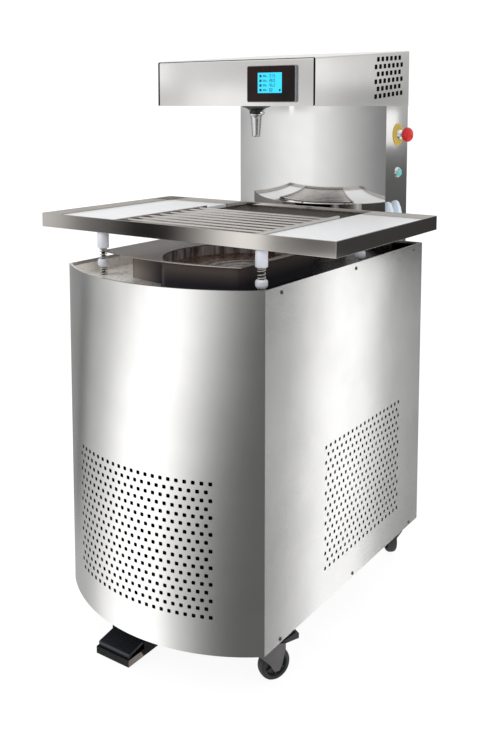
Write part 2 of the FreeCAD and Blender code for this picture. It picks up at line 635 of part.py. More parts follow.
def head():
    """Folded hood, floor and front panel with the display."""
    back_top = "(%s + head_rear_height)" % HEAD
    hood = padded("hood_outer", [
        ("head_front", HEAD), (COLUMN_BACK, HEAD), (COLUMN_BACK, back_top),
        ("head_front", HEAD_TOP)], "2 * column_half_width", "YZ_Plane")
    inside = padded("hood_inner", [
        ("head_front - 1", "%s - 1" % HEAD), ("%s - skin" % COLUMN_BACK, "%s - 1" % HEAD),
        ("%s - skin" % COLUMN_BACK, "%s - skin" % back_top),
        ("head_front - 1", "%s - skin" % HEAD_TOP)], "2 * (column_half_width - skin)",
        "YZ_Plane")
    part("head_shell", cut("hood", hood, inside))

    inner = "(column_half_width - skin)"
    part("head_floor",
         cut("floor_sheet", block("floor_blank", ("-%s" % inner, inner),
                                  ("head_front + skin", "%s - skin" % COLUMN_BACK),
                                  (HEAD, "%s + skin" % HEAD)),
             rod("floor_pump_hole", "pump_bore_radius + pump_wall + cutout_play",
                 ("0", "pump_y"), ("%s - 1" % HEAD, "%s + skin + 1" % HEAD)),
             rod("floor_pipe_hole", "pipe_radius + cutout_play", ("0", "nozzle_y"),
                 ("%s - 1" % HEAD, "%s + skin + 1" % HEAD))))

    edge = "(%s - head_seam)" % inner
    top = "%s - skin" % HEAD_TOP
    behind = "(head_front + skin)"
    fold = block("front_return", ("%s - skin" % edge, edge),
                 (behind, "%s + head_return" % behind), ("%s + skin" % HEAD, top))
    part("head_front_panel",
         joined("front_panel", block("front_face", ("-%s" % edge, edge),
                                     ("head_front", behind), (HEAD, top)),
                fold, mirrored("front_return_mirror", fold)))

    # The bezel is a chamfered plate with a pocket that holds the screen.
    bezel = doc.addObject("PartDesign::Body", "bezel")
    bezel_top = "(%s - bezel_drop)" % HEAD_TOP
    x = around("bezel_x", "bezel_width")
    face = outline(bezel, "bezel_outline", [
        (x[0], "%s - bezel_height" % bezel_top), (x[1], "%s - bezel_height" % bezel_top),
        (x[1], bezel_top), (x[0], bezel_top)])
    plate = bezel.newObject("PartDesign::Pad", "bezel_plate")
    plate.Profile = face
    plate.setExpression("Length", tied("bezel_depth"))
    doc.recompute()
    rim = [index for index, edge in enumerate(plate.Shape.Edges, start=1)
           if abs(edge.BoundBox.YMin - plate.Shape.BoundBox.YMin) < 1e-6
           and edge.BoundBox.YLength < 1e-6]
    chamfer = bezel.newObject("PartDesign::Chamfer", "bezel_chamfer")
    chamfer.Base = (plate, ["Edge%d" % index for index in rim])
    chamfer.setExpression("Size", tied("bezel_edge"))
    screen_top = "(%s - screen_drop)" % HEAD_TOP
    screen_x = around("screen_x", "screen_width")
    screen_z = ("%s - screen_height" % screen_top, screen_top)
    pocket_y = ("head_front - bezel_depth - 1", "head_front - bezel_depth + screen_pocket")
    place(bezel, "0", "head_front", "0")
    part("display_bezel", cut("bezel_shell", bezel,
                              block("bezel_pocket", screen_x, pocket_y, screen_z)))
    part("display_screen", block("screen", screen_x,
                                 ("%s - screen_plate" % pocket_y[1], pocket_y[1]), screen_z))


def outlet():
    """Collar, valve and tapered nozzle under the head."""
    neck = "(-collar_depth)"
    collar = turned("collar", [
        ("pipe_radius - pipe_wall", "0"), ("collar_radius", "0"),
        ("collar_neck_radius", neck), ("pipe_radius - pipe_wall", neck)])
    part("spout_collar", place(collar, "0", "nozzle_y", HEAD))

    top = "(%s - collar_depth)" % HEAD
    low = "(%s - valve_height)" % top
    body = joined("valve_block",
                  rod("valve_neck", "valve_radius", ("0", "nozzle_y"), (low, top)),
                  rod("valve_coil", "coil_radius", ("nozzle_y", "%s - valve_height / 2" % top),
                      ("0", "valve_radius + coil_length"), "x"))
    part("valve_body", cut("valve", body,
                           rod("valve_bore", "valve_bore_radius", ("0", "nozzle_y"),
                               ("%s - 1" % low, "%s + 1" % top))))

    tip = "(-nozzle_length)"
    nozzle = turned("nozzle_turning", [
        ("nozzle_tip_radius - nozzle_wall", "0"), ("nozzle_flange_radius", "0"),
        ("nozzle_flange_radius", "-nozzle_flange"), ("nozzle_top_radius", "-nozzle_flange"),
        ("nozzle_tip_radius", tip), ("nozzle_tip_radius - nozzle_wall", tip)])
    part("nozzle", place(nozzle, "0", "nozzle_y", low))


# ---------------------------------------------------------------------------------------
# Buttons and connectors on the column's right side
# ---------------------------------------------------------------------------------------
def sideways(body, z):
    """Turn a body so that its own Z axis points out of the column's right side."""
    body.Placement.Rotation = TURNS["x"]
    return place(body, "column_half_width", "switch_y", z)


def buttons():
    """Stop mushroom and start button with their rings, and two connectors."""
    stop_z = "(%s - stop_drop)" % HEAD
    start_z = "(%s - button_pitch)" % stop_z
    hole = "(stop_stem_radius + running_gap)"
    ring_top = "(stop_disc_depth + stop_ring_depth)"
    disc = turned("stop_disc", [
        (hole, "0"), ("stop_disc_radius", "0"), ("stop_disc_radius", "stop_disc_depth - 1"),
        ("stop_disc_radius - 1", "stop_disc_depth"), ("stop_ring_radius", "stop_disc_depth"),
        ("stop_ring_radius", ring_top), (hole, ring_top)])
    part("stop_ring", sideways(disc, stop_z))
    inner = "(stop_travel + seat_gap)"
    out = "(stop_head_out + stop_head_depth)"
    mushroom = turned("mushroom", [
        ("0", inner), ("stop_stem_radius", inner), ("stop_stem_radius", "stop_head_out"),
        ("stop_head_radius * 0.7", "stop_head_out"),
        ("stop_head_radius", "stop_head_out + stop_head_depth * 0.3"),
        ("stop_head_radius", "stop_head_out + stop_head_depth * 0.55"),
        ("stop_head_radius * 0.85", "stop_head_out + stop_head_depth * 0.85"),
        ("stop_head_radius * 0.5", out), ("0", out)])
    part("stop_mushroom", sideways(mushroom, stop_z))

    gap = "(start_cap_radius + running_gap)"
    ring = turned("start_bezel", [
        (gap, "0"), ("start_ring_radius", "0"), ("start_ring_radius", "start_ring_depth - 2"),
        ("start_ring_radius - 2", "start_ring_depth"), (gap, "start_ring_depth")])
    part("start_ring", sideways(ring, start_z))
    rest = "(start_travel + seat_gap)"
    cap = turned("start_button", [
        ("0", rest), ("start_cap_radius", rest), ("start_cap_radius", "%s + start_cap_depth - 1" % rest),
        ("start_cap_radius - 1", "%s + start_cap_depth" % rest),
        ("0", "%s + start_cap_depth" % rest)])
    part("start_cap", sideways(cap, start_z))

    low = "(%s + connector_low)" % WELL
    high = "(%s + connector_height)" % low
    wall = "column_half_width"
    out = "(column_half_width + connector_depth)"
    shoulder = "(%s + connector_height / 3)" % low
    half = "(connector_width / 2)"
    top_half = "(%s - connector_taper)" % half
    hoods = []
    for number in range(2):
        name = "connector_%d" % (number + 1)
        y = "connector_y + %d * connector_pitch" % number
        side = padded(name + "_side", [
            (wall, low), ("%s - connector_slope" % out, low), (out, "%s + connector_slope" % low),
            ("%s - connector_slope" % out, "%s - connector_crown" % high),
            ("%s + connector_slope" % wall, high), (wall, high)], "connector_width")
        face = padded(name + "_face", [
            ("-%s" % half, low), (half, low), (half, shoulder), (top_half, high),
            ("-%s" % top_half, high), ("-%s" % half, shoulder)], "2 * %s" % out, "YZ_Plane")
        hoods.append(shared(name, place(side, "0", y, "0"), place(face, "0", y, "0")))
    part("connector_sockets", group("connectors", *hoods))


# ---------------------------------------------------------------------------------------
# Vibrating table
# ---------------------------------------------------------------------------------------
POSTS = [(x, y) for x in ("-post_x", "post_x") for y in ("post_front", "post_back")]


def table():
    """Open tray with a ledge for the two boards and the rod grille."""
    wide, front, back = "table_half_width", "table_front", "table_back"
    in_x, in_front, in_back = ("(table_half_width - table_sheet)",
                               "(table_front + table_sheet)", "(table_back - table_sheet)")
    tall = ("%s - 1" % TABLE, "%s + 1" % TABLE_TOP)
    ledge_z = ("(%s - ledge_sheet)" % LEDGE, LEDGE)
    rim = cut("table_rim",
              block("rim_outer", ("-table_half_width", wide), (front, back), (TABLE, TABLE_TOP)),
              block("rim_inner", ("-%s" % in_x, in_x), (in_front, in_back), tall))
    ledge = cut("table_ledge",
                block("ledge_outer", ("-%s" % in_x, in_x), (in_front, in_back), ledge_z),
                block("ledge_inner", ("-%s + ledge_width" % in_x, "%s - ledge_width" % in_x),
                      ("%s + ledge_width" % in_front, "%s - ledge_width" % in_back), tall))
    rail = block("rail", around("rail_x", "rail_width"), (in_front, in_back), ledge_z)
    rear = block("rear_ledge", ("-rail_x", "rail_x"),
                 ("table_back - rear_ledge_depth", in_back), ledge_z)
    pads = [block("post_pad_%d" % index, around(x, "pad_width"), around(y, "pad_width"),
                  (TABLE, ledge_z[0])) for index, (x, y) in enumerate(POSTS, start=1)]
    part("table_frame", joined("table_tray", rim, ledge, rail,
                               mirrored("rail_mirror", rail), rear, *pads))

    rest = "(%s + seat_gap)" % LEDGE
    board = block("board", ("rail_x + insert_play", "%s - insert_play" % in_x),
                  ("%s + insert_play" % in_front, "%s - insert_play" % in_back),
                  (rest, "%s + board_thickness" % rest))
    part("left_board", mirrored("board_mirror", board))
    part("right_board", board)

    bar = block("side_bar", ("rail_x - insert_play - side_bar_width", "rail_x - insert_play"),
                ("%s + insert_play" % in_front, "table_back - rear_ledge_depth - insert_play"),
                (rest, "%s + side_bar_height" % rest))
    middle = "(rail_x - insert_play - side_bar_width / 2)"
    rods = [rod("grille_rod_%d" % (index + 1), "rod_radius",
                ("table_front + rod_first + %d * rod_pitch" % index, "%s + rod_rise" % rest),
                ("-%s" % middle, middle), "x") for index in range(int(size("rod_count")))]
    part("rod_grille", joined("grille", bar, mirrored("side_bar_mirror", bar), *rods))


def spring(name, x, y, low, high):
    """A short coil of square wire between two heights, read from the sheet."""
    wire = size("spring_wire")
    radius = size("spring_radius")
    base = size("(%s) + seat_gap" % low)
    rise = size("(%s) - seat_gap" % high) - wire - base
    spine = Part.makeHelix(rise / size("spring_turns"), rise, radius)
    half = wire / 2
    corners = [Vector(radius + across, 0, up) for across, up in
               ((-half, 0), (half, 0), (half, wire), (-half, wire))]
    coil = doc.addObject("Part::Feature", name)
    coil.Shape = Part.Wire(spine.Edges).makePipeShell(
        [Part.makePolygon(corners + corners[:1])], True, True)
    return place(coil, x, y, "(%s) + seat_gap" % low)


def posts():
    """Threaded studs on the well plate, each with two springs and two plastic bushes."""
    lower_low = "(%s + lower_spring)" % WELL
    lower_high = "(%s + lower_bush)" % lower_low
    upper_low = "(%s - upper_bush)" % TABLE
    bore = "(stud_radius + running_gap)"
    studs, coils = [], []
    bushes = {"lower": [], "upper": []}
    for index, (x, y) in enumerate(POSTS, start=1):
        studs.append(rod("stud_%d" % index, "stud_radius", (x, y),
                         (WELL, "%s - stud_headroom" % TABLE)))
        coils.append(spring("lower_coil_%d" % index, x, y, WELL, lower_low))
        coils.append(spring("upper_coil_%d" % index, x, y, lower_high, upper_low))
        for kind, low, length in (("lower", lower_low, "lower_bush"),
                                  ("upper", upper_low, "upper_bush")):
            bush = turned("%s_bush_%d" % (kind, index), [
                (bore, "0"), ("bush_radius - bush_edge", "0"), ("bush_radius", "bush_edge"),
                ("bush_radius", "%s - bush_edge" % length),
                ("bush_radius - bush_edge", length), (bore, length)])
            bushes[kind].append(place(bush, x, y, low))
    part("post_studs", group("studs", *studs))
    part("post_springs", group("coils", *coils))
    part("lower_bushes", group("lower_bush_set", *bushes["lower"]))
    part("upper_bushes", group("upper_bush_set", *bushes["upper"]))


def shaker():
    """Vibration motor under the rear ledge, with a half-disc weight at each shaft end."""
    top = "(%s - ledge_sheet)" % LEDGE
    z = "(%s - shaker_foot - shaker_radius)" % top
    half = "(shaker_length / 2)"
    end = "(%s + shaker_cap)" % half
    body = joined("shaker_body",
                  rod("shaker_barrel", "shaker_radius", ("shaker_y", z), ("-%s" % end, end), "x"),
                  block("shaker_foot_block", ("-%s" % half, half),
                        around("shaker_y", "shaker_foot_width"),
                        ("%s - shaker_foot" % top, top)),
                  block("shaker_web", ("-%s" % half, half),
                        around("shaker_y", "shaker_radius"), (z, top)))
    chambers = [rod("weight_chamber", "shaker_radius - cap_wall", ("shaker_y", z),
                    (half, "%s - cap_wall" % end), "x")]
    chambers.append(mirrored("weight_chamber_mirror", chambers[0]))
    bore = rod("shaker_bore", "shaker_shaft_radius + running_gap", ("shaker_y", z),
               ("-%s" % half, half), "x")
    part("shaker_motor", cut("shaker_housing", body, bore, *chambers))

    reach = "(%s + weight_depth + 2)" % half
    weight = cut("weight", rod("weight_disc", "weight_radius", ("shaker_y", z),
                               ("%s + 2" % half, reach), "x"),
                 block("weight_flat", (half, "%s + 1" % reach),
                       ("shaker_y - weight_radius - 1", "shaker_y + weight_radius + 1"),
                       (z, "%s + weight_radius + 1" % z)))
    shaft = rod("shaker_shaft", "shaker_shaft_radius", ("shaker_y", z),
                ("-%s" % reach, reach), "x")
    part("shaker_rotor", joined("rotor", shaft, weight, mirrored("weight_mirror", weight)))


# ---------------------------------------------------------------------------------------
# Foot pedal
# ---------------------------------------------------------------------------------------
def pedal():
    """A steel tray hung from the floor pan, with the treadle hinged between two ears."""
    x = (PEDAL_LEFT, PEDAL_RIGHT)
    inner = ("(%s + pedal_sheet)" % x[0], "(%s - pedal_sheet)" % x[1])
    floor = "(pedal_floor + pedal_sheet)"
    tray = cut("pedal_pan", block("pedal_outer", x, ("pedal_front", "pedal_back"),
                                  ("pedal_floor", "pedal_floor + pedal_wall")),
               block("pedal_inner", inner, ("pedal_front + pedal_sheet", "pedal_back + 1"),
                     (floor, "pedal_floor + pedal_wall + 1")))
    ears = cut("pedal_ears", block("ear_block", x, ("ear_front", "ear_back"),
                                   ("pedal_floor", "pedal_floor + ear_height")),
               block("ear_gap", inner, ("ear_front - 1", "ear_back + 1"),
                     (floor, "pedal_floor + ear_height + 1")),
               rod("ear_hole", "pivot_radius + running_gap", ("pivot_y", "pivot_height"),
                   ("%s - 1" % x[0], "%s + 1" % x[1]), "x"))
    hanger = block("pedal_hanger", x, ("pedal_back - pan_plate", "pedal_back"),
                   ("pedal_floor", BASE))
    part("pedal_tray", joined("pedal_channel", tray, ears, hanger))

    case = doc.addObject("Part::Fillet", "foot_switch_case")
    case.Base = block("foot_switch_block", inner,
                      ("foot_switch_front", "pedal_back - pan_plate"),
                      (floor, "%s + foot_switch_height" % floor))
    case.Edges = [(10, size("foot_switch_round"), size("foot_switch_round"))]
    part("foot_switch", case)

    # Side profile of the treadle: a sloping plate with a lip turned down at its tip
    tread = padded("treadle_plate", [
        ("tread_tip", "tread_tip_height"), ("tread_heel", "tread_heel_height"),
        ("tread_heel", "pivot_height - pivot_radius - 2"),
        ("pivot_y - pivot_radius - 3", "pivot_height - pivot_radius - 2"),
        ("tread_tip + tread_thickness", "tread_tip_height - tread_thickness"),
        ("tread_tip + tread_thickness", "tread_tip_height - tread_thickness - tread_lip"),
        ("tread_tip", "tread_tip_height - tread_thickness - tread_lip")],
        "2 * (pedal_half_width - pedal_sheet - running_gap)", "YZ_Plane")
    place(tread, "pedal_x", "0", "0")
    pin = rod("treadle_pin", "pivot_radius", ("pivot_y", "pivot_height"), x, "x")
    part("pedal_treadle", joined("treadle", tread, pin))


# ---------------------------------------------------------------------------------------
# Casters
# ---------------------------------------------------------------------------------------
CASTERS = {
    "front_right": ("(%s - swivel_side)" % HALF, "%s + swivel_inset" % CORNER),
    "front_left": ("(swivel_side - %s)" % HALF, "%s + swivel_inset" % CORNER),
    "rear_right": ("(%s - swivel_side)" % HALF, "%s - swivel_inset" % REAR),
    "rear_left": ("(swivel_side - %s)" % HALF, "%s - swivel_inset" % REAR),
}


def swivelled(thing, corner, reach="0", height="0"):
    """Place a piece at a caster's swivel axis, or along its trail, turned with it."""
    x, y = CASTERS[corner]
    turn = "turn_" + corner
    thing.Placement.Rotation = Rotation(Vector(0, 0, 1), SIZES[turn])
    thing.setExpression(".Placement.Rotation.Angle", tied(turn))
    return place(thing, "%s + %s * cos(%s)" % (x, reach, turn),
                 "%s + %s * sin(%s)" % (y, reach, turn), height)


def fork(corner):
    """Raceway, crown and two cheeks that hold the axle; its own X axis is the trail."""
    top = "(caster_height - caster_plate - seat_gap)"
    race_low = "(caster_height - caster_plate - race_depth)"
    crown_low = "(%s - crown_depth)" % race_low
    slot = "(wheel_width + 2 * wheel_play)"
    full = "(%s + 2 * fork_plate)" % slot
    name = "fork_" + corner
    cheeks = padded(name + "_cheeks", [
        ("-race_radius", crown_low), ("-race_radius", race_low), ("race_radius", race_low),
        ("cheek_tail", "%s - crown_depth" % race_low),
        ("cheek_tail", "%s - 3 * crown_depth" % crown_low),
        ("caster_trail + cheek_radius", "wheel_radius"),
        ("caster_trail + cheek_radius / 2", "wheel_radius - cheek_radius"),
        ("caster_trail - cheek_radius / 2", "wheel_radius - cheek_radius"),
        ("caster_trail - 1.4 * cheek_radius", "wheel_radius + cheek_radius / 2")], full)
    gap = block(name + "_slot", ("-2 * race_radius", "4 * race_radius"), around("0", slot),
                ("0", crown_low))
    tail = block(name + "_tail_slot", ("race_radius", "4 * race_radius"), around("0", slot),
                 ("0", "caster_height"))
    race = rod(name + "_race", "race_radius", ("0", "0"), (crown_low, top))
    kingpin = rod(name + "_kingpin", "kingpin_radius", ("0", "0"),
                  (race_low, "caster_height - seat_gap"))
    axle = rod(name + "_axle", "axle_radius", ("caster_trail", "wheel_radius"),
               around("0", full), "y")
    things = [cut(name + "_frame", cheeks, gap, tail), race, kingpin, axle]
    if corner.startswith("front"):
        things.append(rod(name + "_lever_pin", "lever_pin_radius",
                          ("lever_pin_x", "caster_height - lever_pin_drop"),
                          around("0", full), "y"))
    return swivelled(joined(name, *things), corner)


def wheel(corner):
    """Tyre, rim recess and boss turned in one profile about the wheel's own Y axis."""
    half = "(wheel_width / 2)"
    recess = "(%s - rim_recess)" % half
    bore = "(axle_radius + running_gap)"
    body = turned("wheel_body_" + corner, [
        (bore, "-%s" % half), ("boss_radius", "-%s" % half), ("boss_radius", "-%s" % recess),
        ("rim_radius", "-%s" % recess), ("rim_radius", "-%s" % half),
        ("wheel_radius - tread_round", "-%s" % half),
        ("wheel_radius", "-%s + tread_round" % half), ("wheel_radius", "%s - tread_round" % half),
        ("wheel_radius - tread_round", half), ("rim_radius", half), ("rim_radius", recess),
        ("boss_radius", recess), ("boss_radius", half), (bore, half)], "XY_Plane")
    return swivelled(body, corner, "caster_trail", "wheel_radius")


def brake_lever(corner):
    """Toe lever that pivots on the pin between the fork's cheeks."""
    pin_z = "(caster_height - lever_pin_drop)"
    name = "lever_" + corner
    width = "(wheel_width + 2 * wheel_play - 2 * running_gap)"
    boss = rod(name + "_boss", "lever_boss_radius", ("lever_pin_x", pin_z),
               around("0", width), "y")
    arm = padded(name + "_arm", [
        ("lever_pin_x", pin_z), ("lever_reach", "%s + lever_plate / 2" % pin_z),
        ("lever_reach", "%s + 2 * lever_plate" % pin_z),
        ("lever_reach - lever_plate", "%s + 2.4 * lever_plate" % pin_z),
        ("lever_pin_x", "%s + lever_boss_radius" % pin_z)], width)
    hole = rod(name + "_hole", "lever_pin_radius + running_gap", ("lever_pin_x", pin_z),
               around("0", "2 * wheel_width"), "y")
    return swivelled(cut(name, joined(name + "_body", boss, arm), hole), corner)


def casters():
    """Four swivel casters; the two in front have a brake lever."""
    plates = []
    for corner, (x, y) in CASTERS.items():
        z = ("caster_height - caster_plate", "caster_height")
        plates.append(cut("caster_plate_" + corner,
                          block("plate_" + corner, around(x, "caster_plate_width"),
                                around(y, "caster_plate_length"), z),
                          rod("plate_hole_" + corner, "kingpin_radius + running_gap", (x, y),
                              ("%s - 1" % z[0], "%s + 1" % z[1]))))
    part("caster_plates", group("caster_plate_set", *plates))
    for corner in CASTERS:
        part("caster_fork_" + corner, fork(corner))
        part("caster_wheel_" + corner, wheel(corner))
        if corner.startswith("front"):
            part("brake_lever_" + corner, brake_lever(corner))


# ---------------------------------------------------------------------------------------
# Build, check and write
# ---------------------------------------------------------------------------------------
def check():
    """Stop at any failed object or bad shape before a file is written."""
    for thing in doc.Objects:
        bad = {"Invalid", "Error"} & set(thing.State)
        if bad:
            raise RuntimeError("%s is %s" % (thing.Label, ", ".join(bad)))
    for thing in PARTS:
        if thing.Shape.isNull() or not thing.Shape.isValid() or not thing.Shape.Solids:
            raise RuntimeError("%s has no valid solid" % thing.Label)


def main():
    """Build every assembly in turn and write one STEP file for each sub-part."""
    for assembly in (cabinet, basin, pump, cooling, drives_shelf, column, head, outlet,
                     buttons, table, posts, shaker, pedal, casters):
        assembly()
    doc.recompute()
    check()
    os.makedirs("parts", exist_ok=True)
    for thing in PARTS:
        thing.Shape.exportStep("parts/%s.step" % thing.Label)
    print("%d sub-parts" % len(PARTS))


main()
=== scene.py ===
"""Looks of the chocolate tempering machine, in metres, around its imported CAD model."""
import math

import bpy
from mathutils import Matrix, Vector

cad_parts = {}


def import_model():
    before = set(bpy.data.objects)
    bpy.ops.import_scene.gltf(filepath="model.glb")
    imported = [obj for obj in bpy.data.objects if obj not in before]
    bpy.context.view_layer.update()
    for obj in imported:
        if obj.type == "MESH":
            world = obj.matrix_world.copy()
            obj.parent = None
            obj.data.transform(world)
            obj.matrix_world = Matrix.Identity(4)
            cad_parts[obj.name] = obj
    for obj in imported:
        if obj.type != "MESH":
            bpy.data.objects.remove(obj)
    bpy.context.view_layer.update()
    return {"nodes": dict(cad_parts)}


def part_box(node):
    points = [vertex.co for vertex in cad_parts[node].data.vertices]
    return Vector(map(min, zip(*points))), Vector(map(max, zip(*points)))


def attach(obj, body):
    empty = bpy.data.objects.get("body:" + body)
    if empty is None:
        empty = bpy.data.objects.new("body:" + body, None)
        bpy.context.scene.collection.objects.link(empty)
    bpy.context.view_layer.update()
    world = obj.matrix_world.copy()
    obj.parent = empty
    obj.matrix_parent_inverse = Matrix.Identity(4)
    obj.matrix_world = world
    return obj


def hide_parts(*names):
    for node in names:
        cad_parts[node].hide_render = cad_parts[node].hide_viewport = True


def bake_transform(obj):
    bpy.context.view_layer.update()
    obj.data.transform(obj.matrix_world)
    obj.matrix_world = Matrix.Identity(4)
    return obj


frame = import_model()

nodes = frame["nodes"]

# ---------------------------------------------------------------------------------------
# Materials
# ---------------------------------------------------------------------------------------
FINISHES = {}


class Nodes:
    """Adds shader nodes to one tree."""

    def __init__(self, tree):
        self.nodes, self.links = tree.nodes, tree.links

    def fill(self, socket, value):
        """Set a socket, or link it to another node's output."""
        if isinstance(value, bpy.types.NodeSocket):
            self.links.new(value, socket)
        else:
            socket.default_value = value

    def add(self, kind, output, *values, **named):
        """A new node's output.

        Its sockets are filled in order or by name; a name in lower case is a setting.
        """
        node = self.nodes.new("ShaderNode" + kind)
        for name, value in named.items():
            if name[0].islower():
                setattr(node, name, value)
            else:
                self.fill(node.inputs[name.replace("_", " ")], value)
        for socket, value in zip(node.inputs, values):
            self.fill(socket, value)
        return node.outputs[output]

    def ranged(self, source, low, high, start=0.3, end=0.7, kind="LINEAR"):
        """A value that runs from low to high as its source goes from start to end."""
        return self.add("MapRange", "Result", Value=source, From_Min=start, From_Max=end,
                        To_Min=low, To_Max=high, interpolation_type=kind)


class Finish(Nodes):
    """A Principled material, kept in FINISHES under its name."""

    def __init__(self, name, colour, rough, metallic=0.0, **constants):
        material = FINISHES[name] = bpy.data.materials.new(name)
        material.use_nodes = True
        super().__init__(material.node_tree)
        self.shader = self.nodes["Principled BSDF"].inputs
        self.shader["Base Color"].default_value = (*colour, 1)
        self.shader["Roughness"].default_value = rough
        self.shader["Metallic"].default_value = metallic
        for socket, value in constants.items():
            self.shader[socket.replace("_", " ")].default_value = value
        self.place = self.add("TexCoord", "Object")

    def noise(self, scale, detail=3.0, stretch=(1, 1, 1), distortion=0.0):
        """Noise in the object's own metres, stretched along its axes."""
        mapped = self.add("Mapping", "Vector", Vector=self.place, Scale=stretch)
        return self.add("TexNoise", "Fac", Vector=mapped, Scale=scale, Detail=detail,
                        Distortion=distortion)

    def colours(self, source, first, second, start=0.35, end=0.65):
        """Colour that runs between two tones as its source changes."""
        colour = self.add("ValToRGB", "Color", source)
        for element, at, tone in zip(colour.node.color_ramp.elements, (start, end),
                                     (first, second)):
            element.position = at
            element.color = (*tone, 1)
        self.fill(self.shader["Base Color"], colour)

    def along(self, axis, start, end):
        """A value that runs from 0 to 1 between two places along an axis."""
        return self.ranged(self.add("SeparateXYZ", axis, self.place), 0, 1, start, end)

    def blended(self, factor, first, second):
        """A colour between two, each a tone or another node's output."""
        mix = self.nodes.new("ShaderNodeMix")
        mix.data_type = "RGBA"
        sides = [(*side, 1) if isinstance(side, tuple) else side for side in (first, second)]
        for index, value in zip((0, 6, 7), (factor, *sides)):
            self.fill(mix.inputs[index], value)
        return mix.outputs[2]

    def roughness(self, source, low, high):
        """Roughness that runs from low to high with its source."""
        self.fill(self.shader["Roughness"], self.ranged(source, low, high))

    def bump(self, height, distance, strength=1.0):
        """Relief of at most a distance, from a height between 0 and 1."""
        self.fill(self.shader["Normal"], self.add("Bump", "Normal", Height=height,
                                                  Distance=distance, Strength=strength))


def tinted(colour, factor):
    """The colour made lighter or darker."""
    return tuple(min(1.0, channel * factor) for channel in colour)


def steel(name, colour, rough, stretch, depth=0.00002, uneven=0.05, edge=1.0):
    """Ground or polished sheet, with its grain drawn out along one axis.

    edge is how much of a grazing reflection is left; stains and film take some of it.
    """
    finish = Finish(name, colour, rough, metallic=1.0, Specular_Tint=(edge, edge, edge, 1))
    fine = finish.noise(900.0, 4.0, stretch)
    broad = finish.noise(7.0, 2.0)
    finish.colours(broad, tinted(colour, 0.96), tinted(colour, 1.03))
    finish.roughness(fine, rough - uneven, rough + uneven)
    if depth:
        finish.bump(fine, depth, 0.5)


def plastic(name, colour, rough, fade=0.9):
    """Moulded plastic with a fine grain and slightly uneven colour."""
    finish = Finish(name, colour, rough)
    finish.colours(finish.noise(28.0, 3.0), tinted(colour, fade), colour)
    fine = finish.noise(1400.0, 2.0)
    finish.roughness(fine, rough - 0.05, rough + 0.06)
    finish.bump(fine, 0.00004, 0.6)


def cast(name, colour, rough, metallic=0.0, edge=0.5):
    """Painted or cast metal with a coarser skin; edge is its specular level."""
    finish = Finish(name, colour, rough, metallic=metallic, Specular_IOR_Level=edge)
    finish.colours(finish.noise(18.0, 4.0), tinted(colour, 0.85), tinted(colour, 1.08))
    finish.roughness(finish.noise(160.0, 3.0), rough - 0.08, rough + 0.08)
    finish.bump(finish.noise(420.0, 4.0), 0.00015, 0.5)


def chocolate():
    """Melted dark chocolate: glossy, with slow streaks from stirring."""
    finish = Finish("chocolate", (0.045, 0.019, 0.011), 0.22, Subsurface_Weight=0.05,
                    Coat_Weight=0.3, Coat_Roughness=0.12)
    streaks = finish.noise(34.0, 5.0, (1, 1, 1), 1.6)
    finish.colours(streaks, (0.032, 0.013, 0.008), (0.085, 0.038, 0.022))
    finish.roughness(streaks, 0.16, 0.34)
    finish.bump(streaks, 0.0012, 0.6)


def filmed_steel():
    """Tank wall with a thin film of chocolate that has run down in streaks."""
    finish = Finish("filmed_steel", (0.22, 0.17, 0.15), 0.34, metallic=0.55)
    runs = finish.noise(60.0, 4.0, (1, 1, 0.12), 0.6)
    finish.colours(runs, (0.062, 0.042, 0.036), (0.42, 0.385, 0.365), 0.40, 0.66)
    finish.roughness(runs, 0.26, 0.46)
    finish.bump(runs, 0.0006, 0.5)


def painted_shade_steel():
    """Outside of the tank: steel with painted shade, dark to the right and brown on the left, with
    a lighter painted strip just under the flange.
    """
    finish = Finish("painted_shade_steel", (0.05, 0.045, 0.045), 0.40, metallic=0.2,
                    Specular_IOR_Level=0.25)
    # Painted shade and light: the wall darkens towards the right, and a lighter strip is painted
    # along its top under the flange.
    left, up = finish.along("X", -0.040, -0.165), finish.along("Z", 0.895, 0.925)
    tone = finish.blended(left, (0.020, 0.018, 0.025), (0.360, 0.310, 0.280))
    strip = finish.blended(left, (0.070, 0.054, 0.048), (0.300, 0.250, 0.225))
    finish.fill(finish.shader["Base Color"], finish.blended(up, tone, strip))
    finish.roughness(finish.noise(160.0, 3.0), 0.34, 0.48)
    finish.bump(finish.noise(420.0, 4.0), 0.00012, 0.4)


def well_painted_shade():
    """Floor of the well: cream on the left, with painted shade that darkens it to near black
    towards the right.
    """
    finish = Finish("well_painted_shade", (0.4, 0.36, 0.33), 0.30, metallic=0.2)
    left = finish.along("X", 0.190, -0.250)
    ragged_shade_edge = finish.ranged(finish.noise(14.0, 4.0, (1, 0.5, 1)), -0.14, 0.14)
    # Painted shade: worn is the mask of that shade, darkening the floor to the right along a noisy
    # edge.
    worn = finish.add("Math", 0, left, ragged_shade_edge, operation="ADD")
    finish.colours(worn, (0.030, 0.023, 0.024), (0.95, 0.91, 0.85), 0.18, 0.88)
    finish.roughness(finish.noise(90.0), 0.24, 0.38)


def dark_glass():
    """Printed glass of the display frame, dark with a soft red-brown cloud."""
    finish = Finish("dark_glass", (0.02, 0.012, 0.012), 0.10, Specular_IOR_Level=0.22)
    cloud = finish.noise(16.0, 3.0)
    finish.colours(cloud, (0.003, 0.0025, 0.003), (0.016, 0.004, 0.004))
    finish.roughness(finish.noise(300.0), 0.08, 0.15)


def lit_screen():
    """Backlit liquid crystal behind its cover, with a faint pixel grid."""
    finish = Finish("lit_screen", (0.02, 0.35, 0.5), 0.2, Emission_Strength=0.72)
    grid = finish.add("TexChecker", "Color", Vector=finish.place, Scale=1400,
                      Color1=(0.0, 0.50, 0.76, 1), Color2=(0.03, 0.60, 0.86, 1))
    finish.fill(finish.shader["Emission Color"], grid)


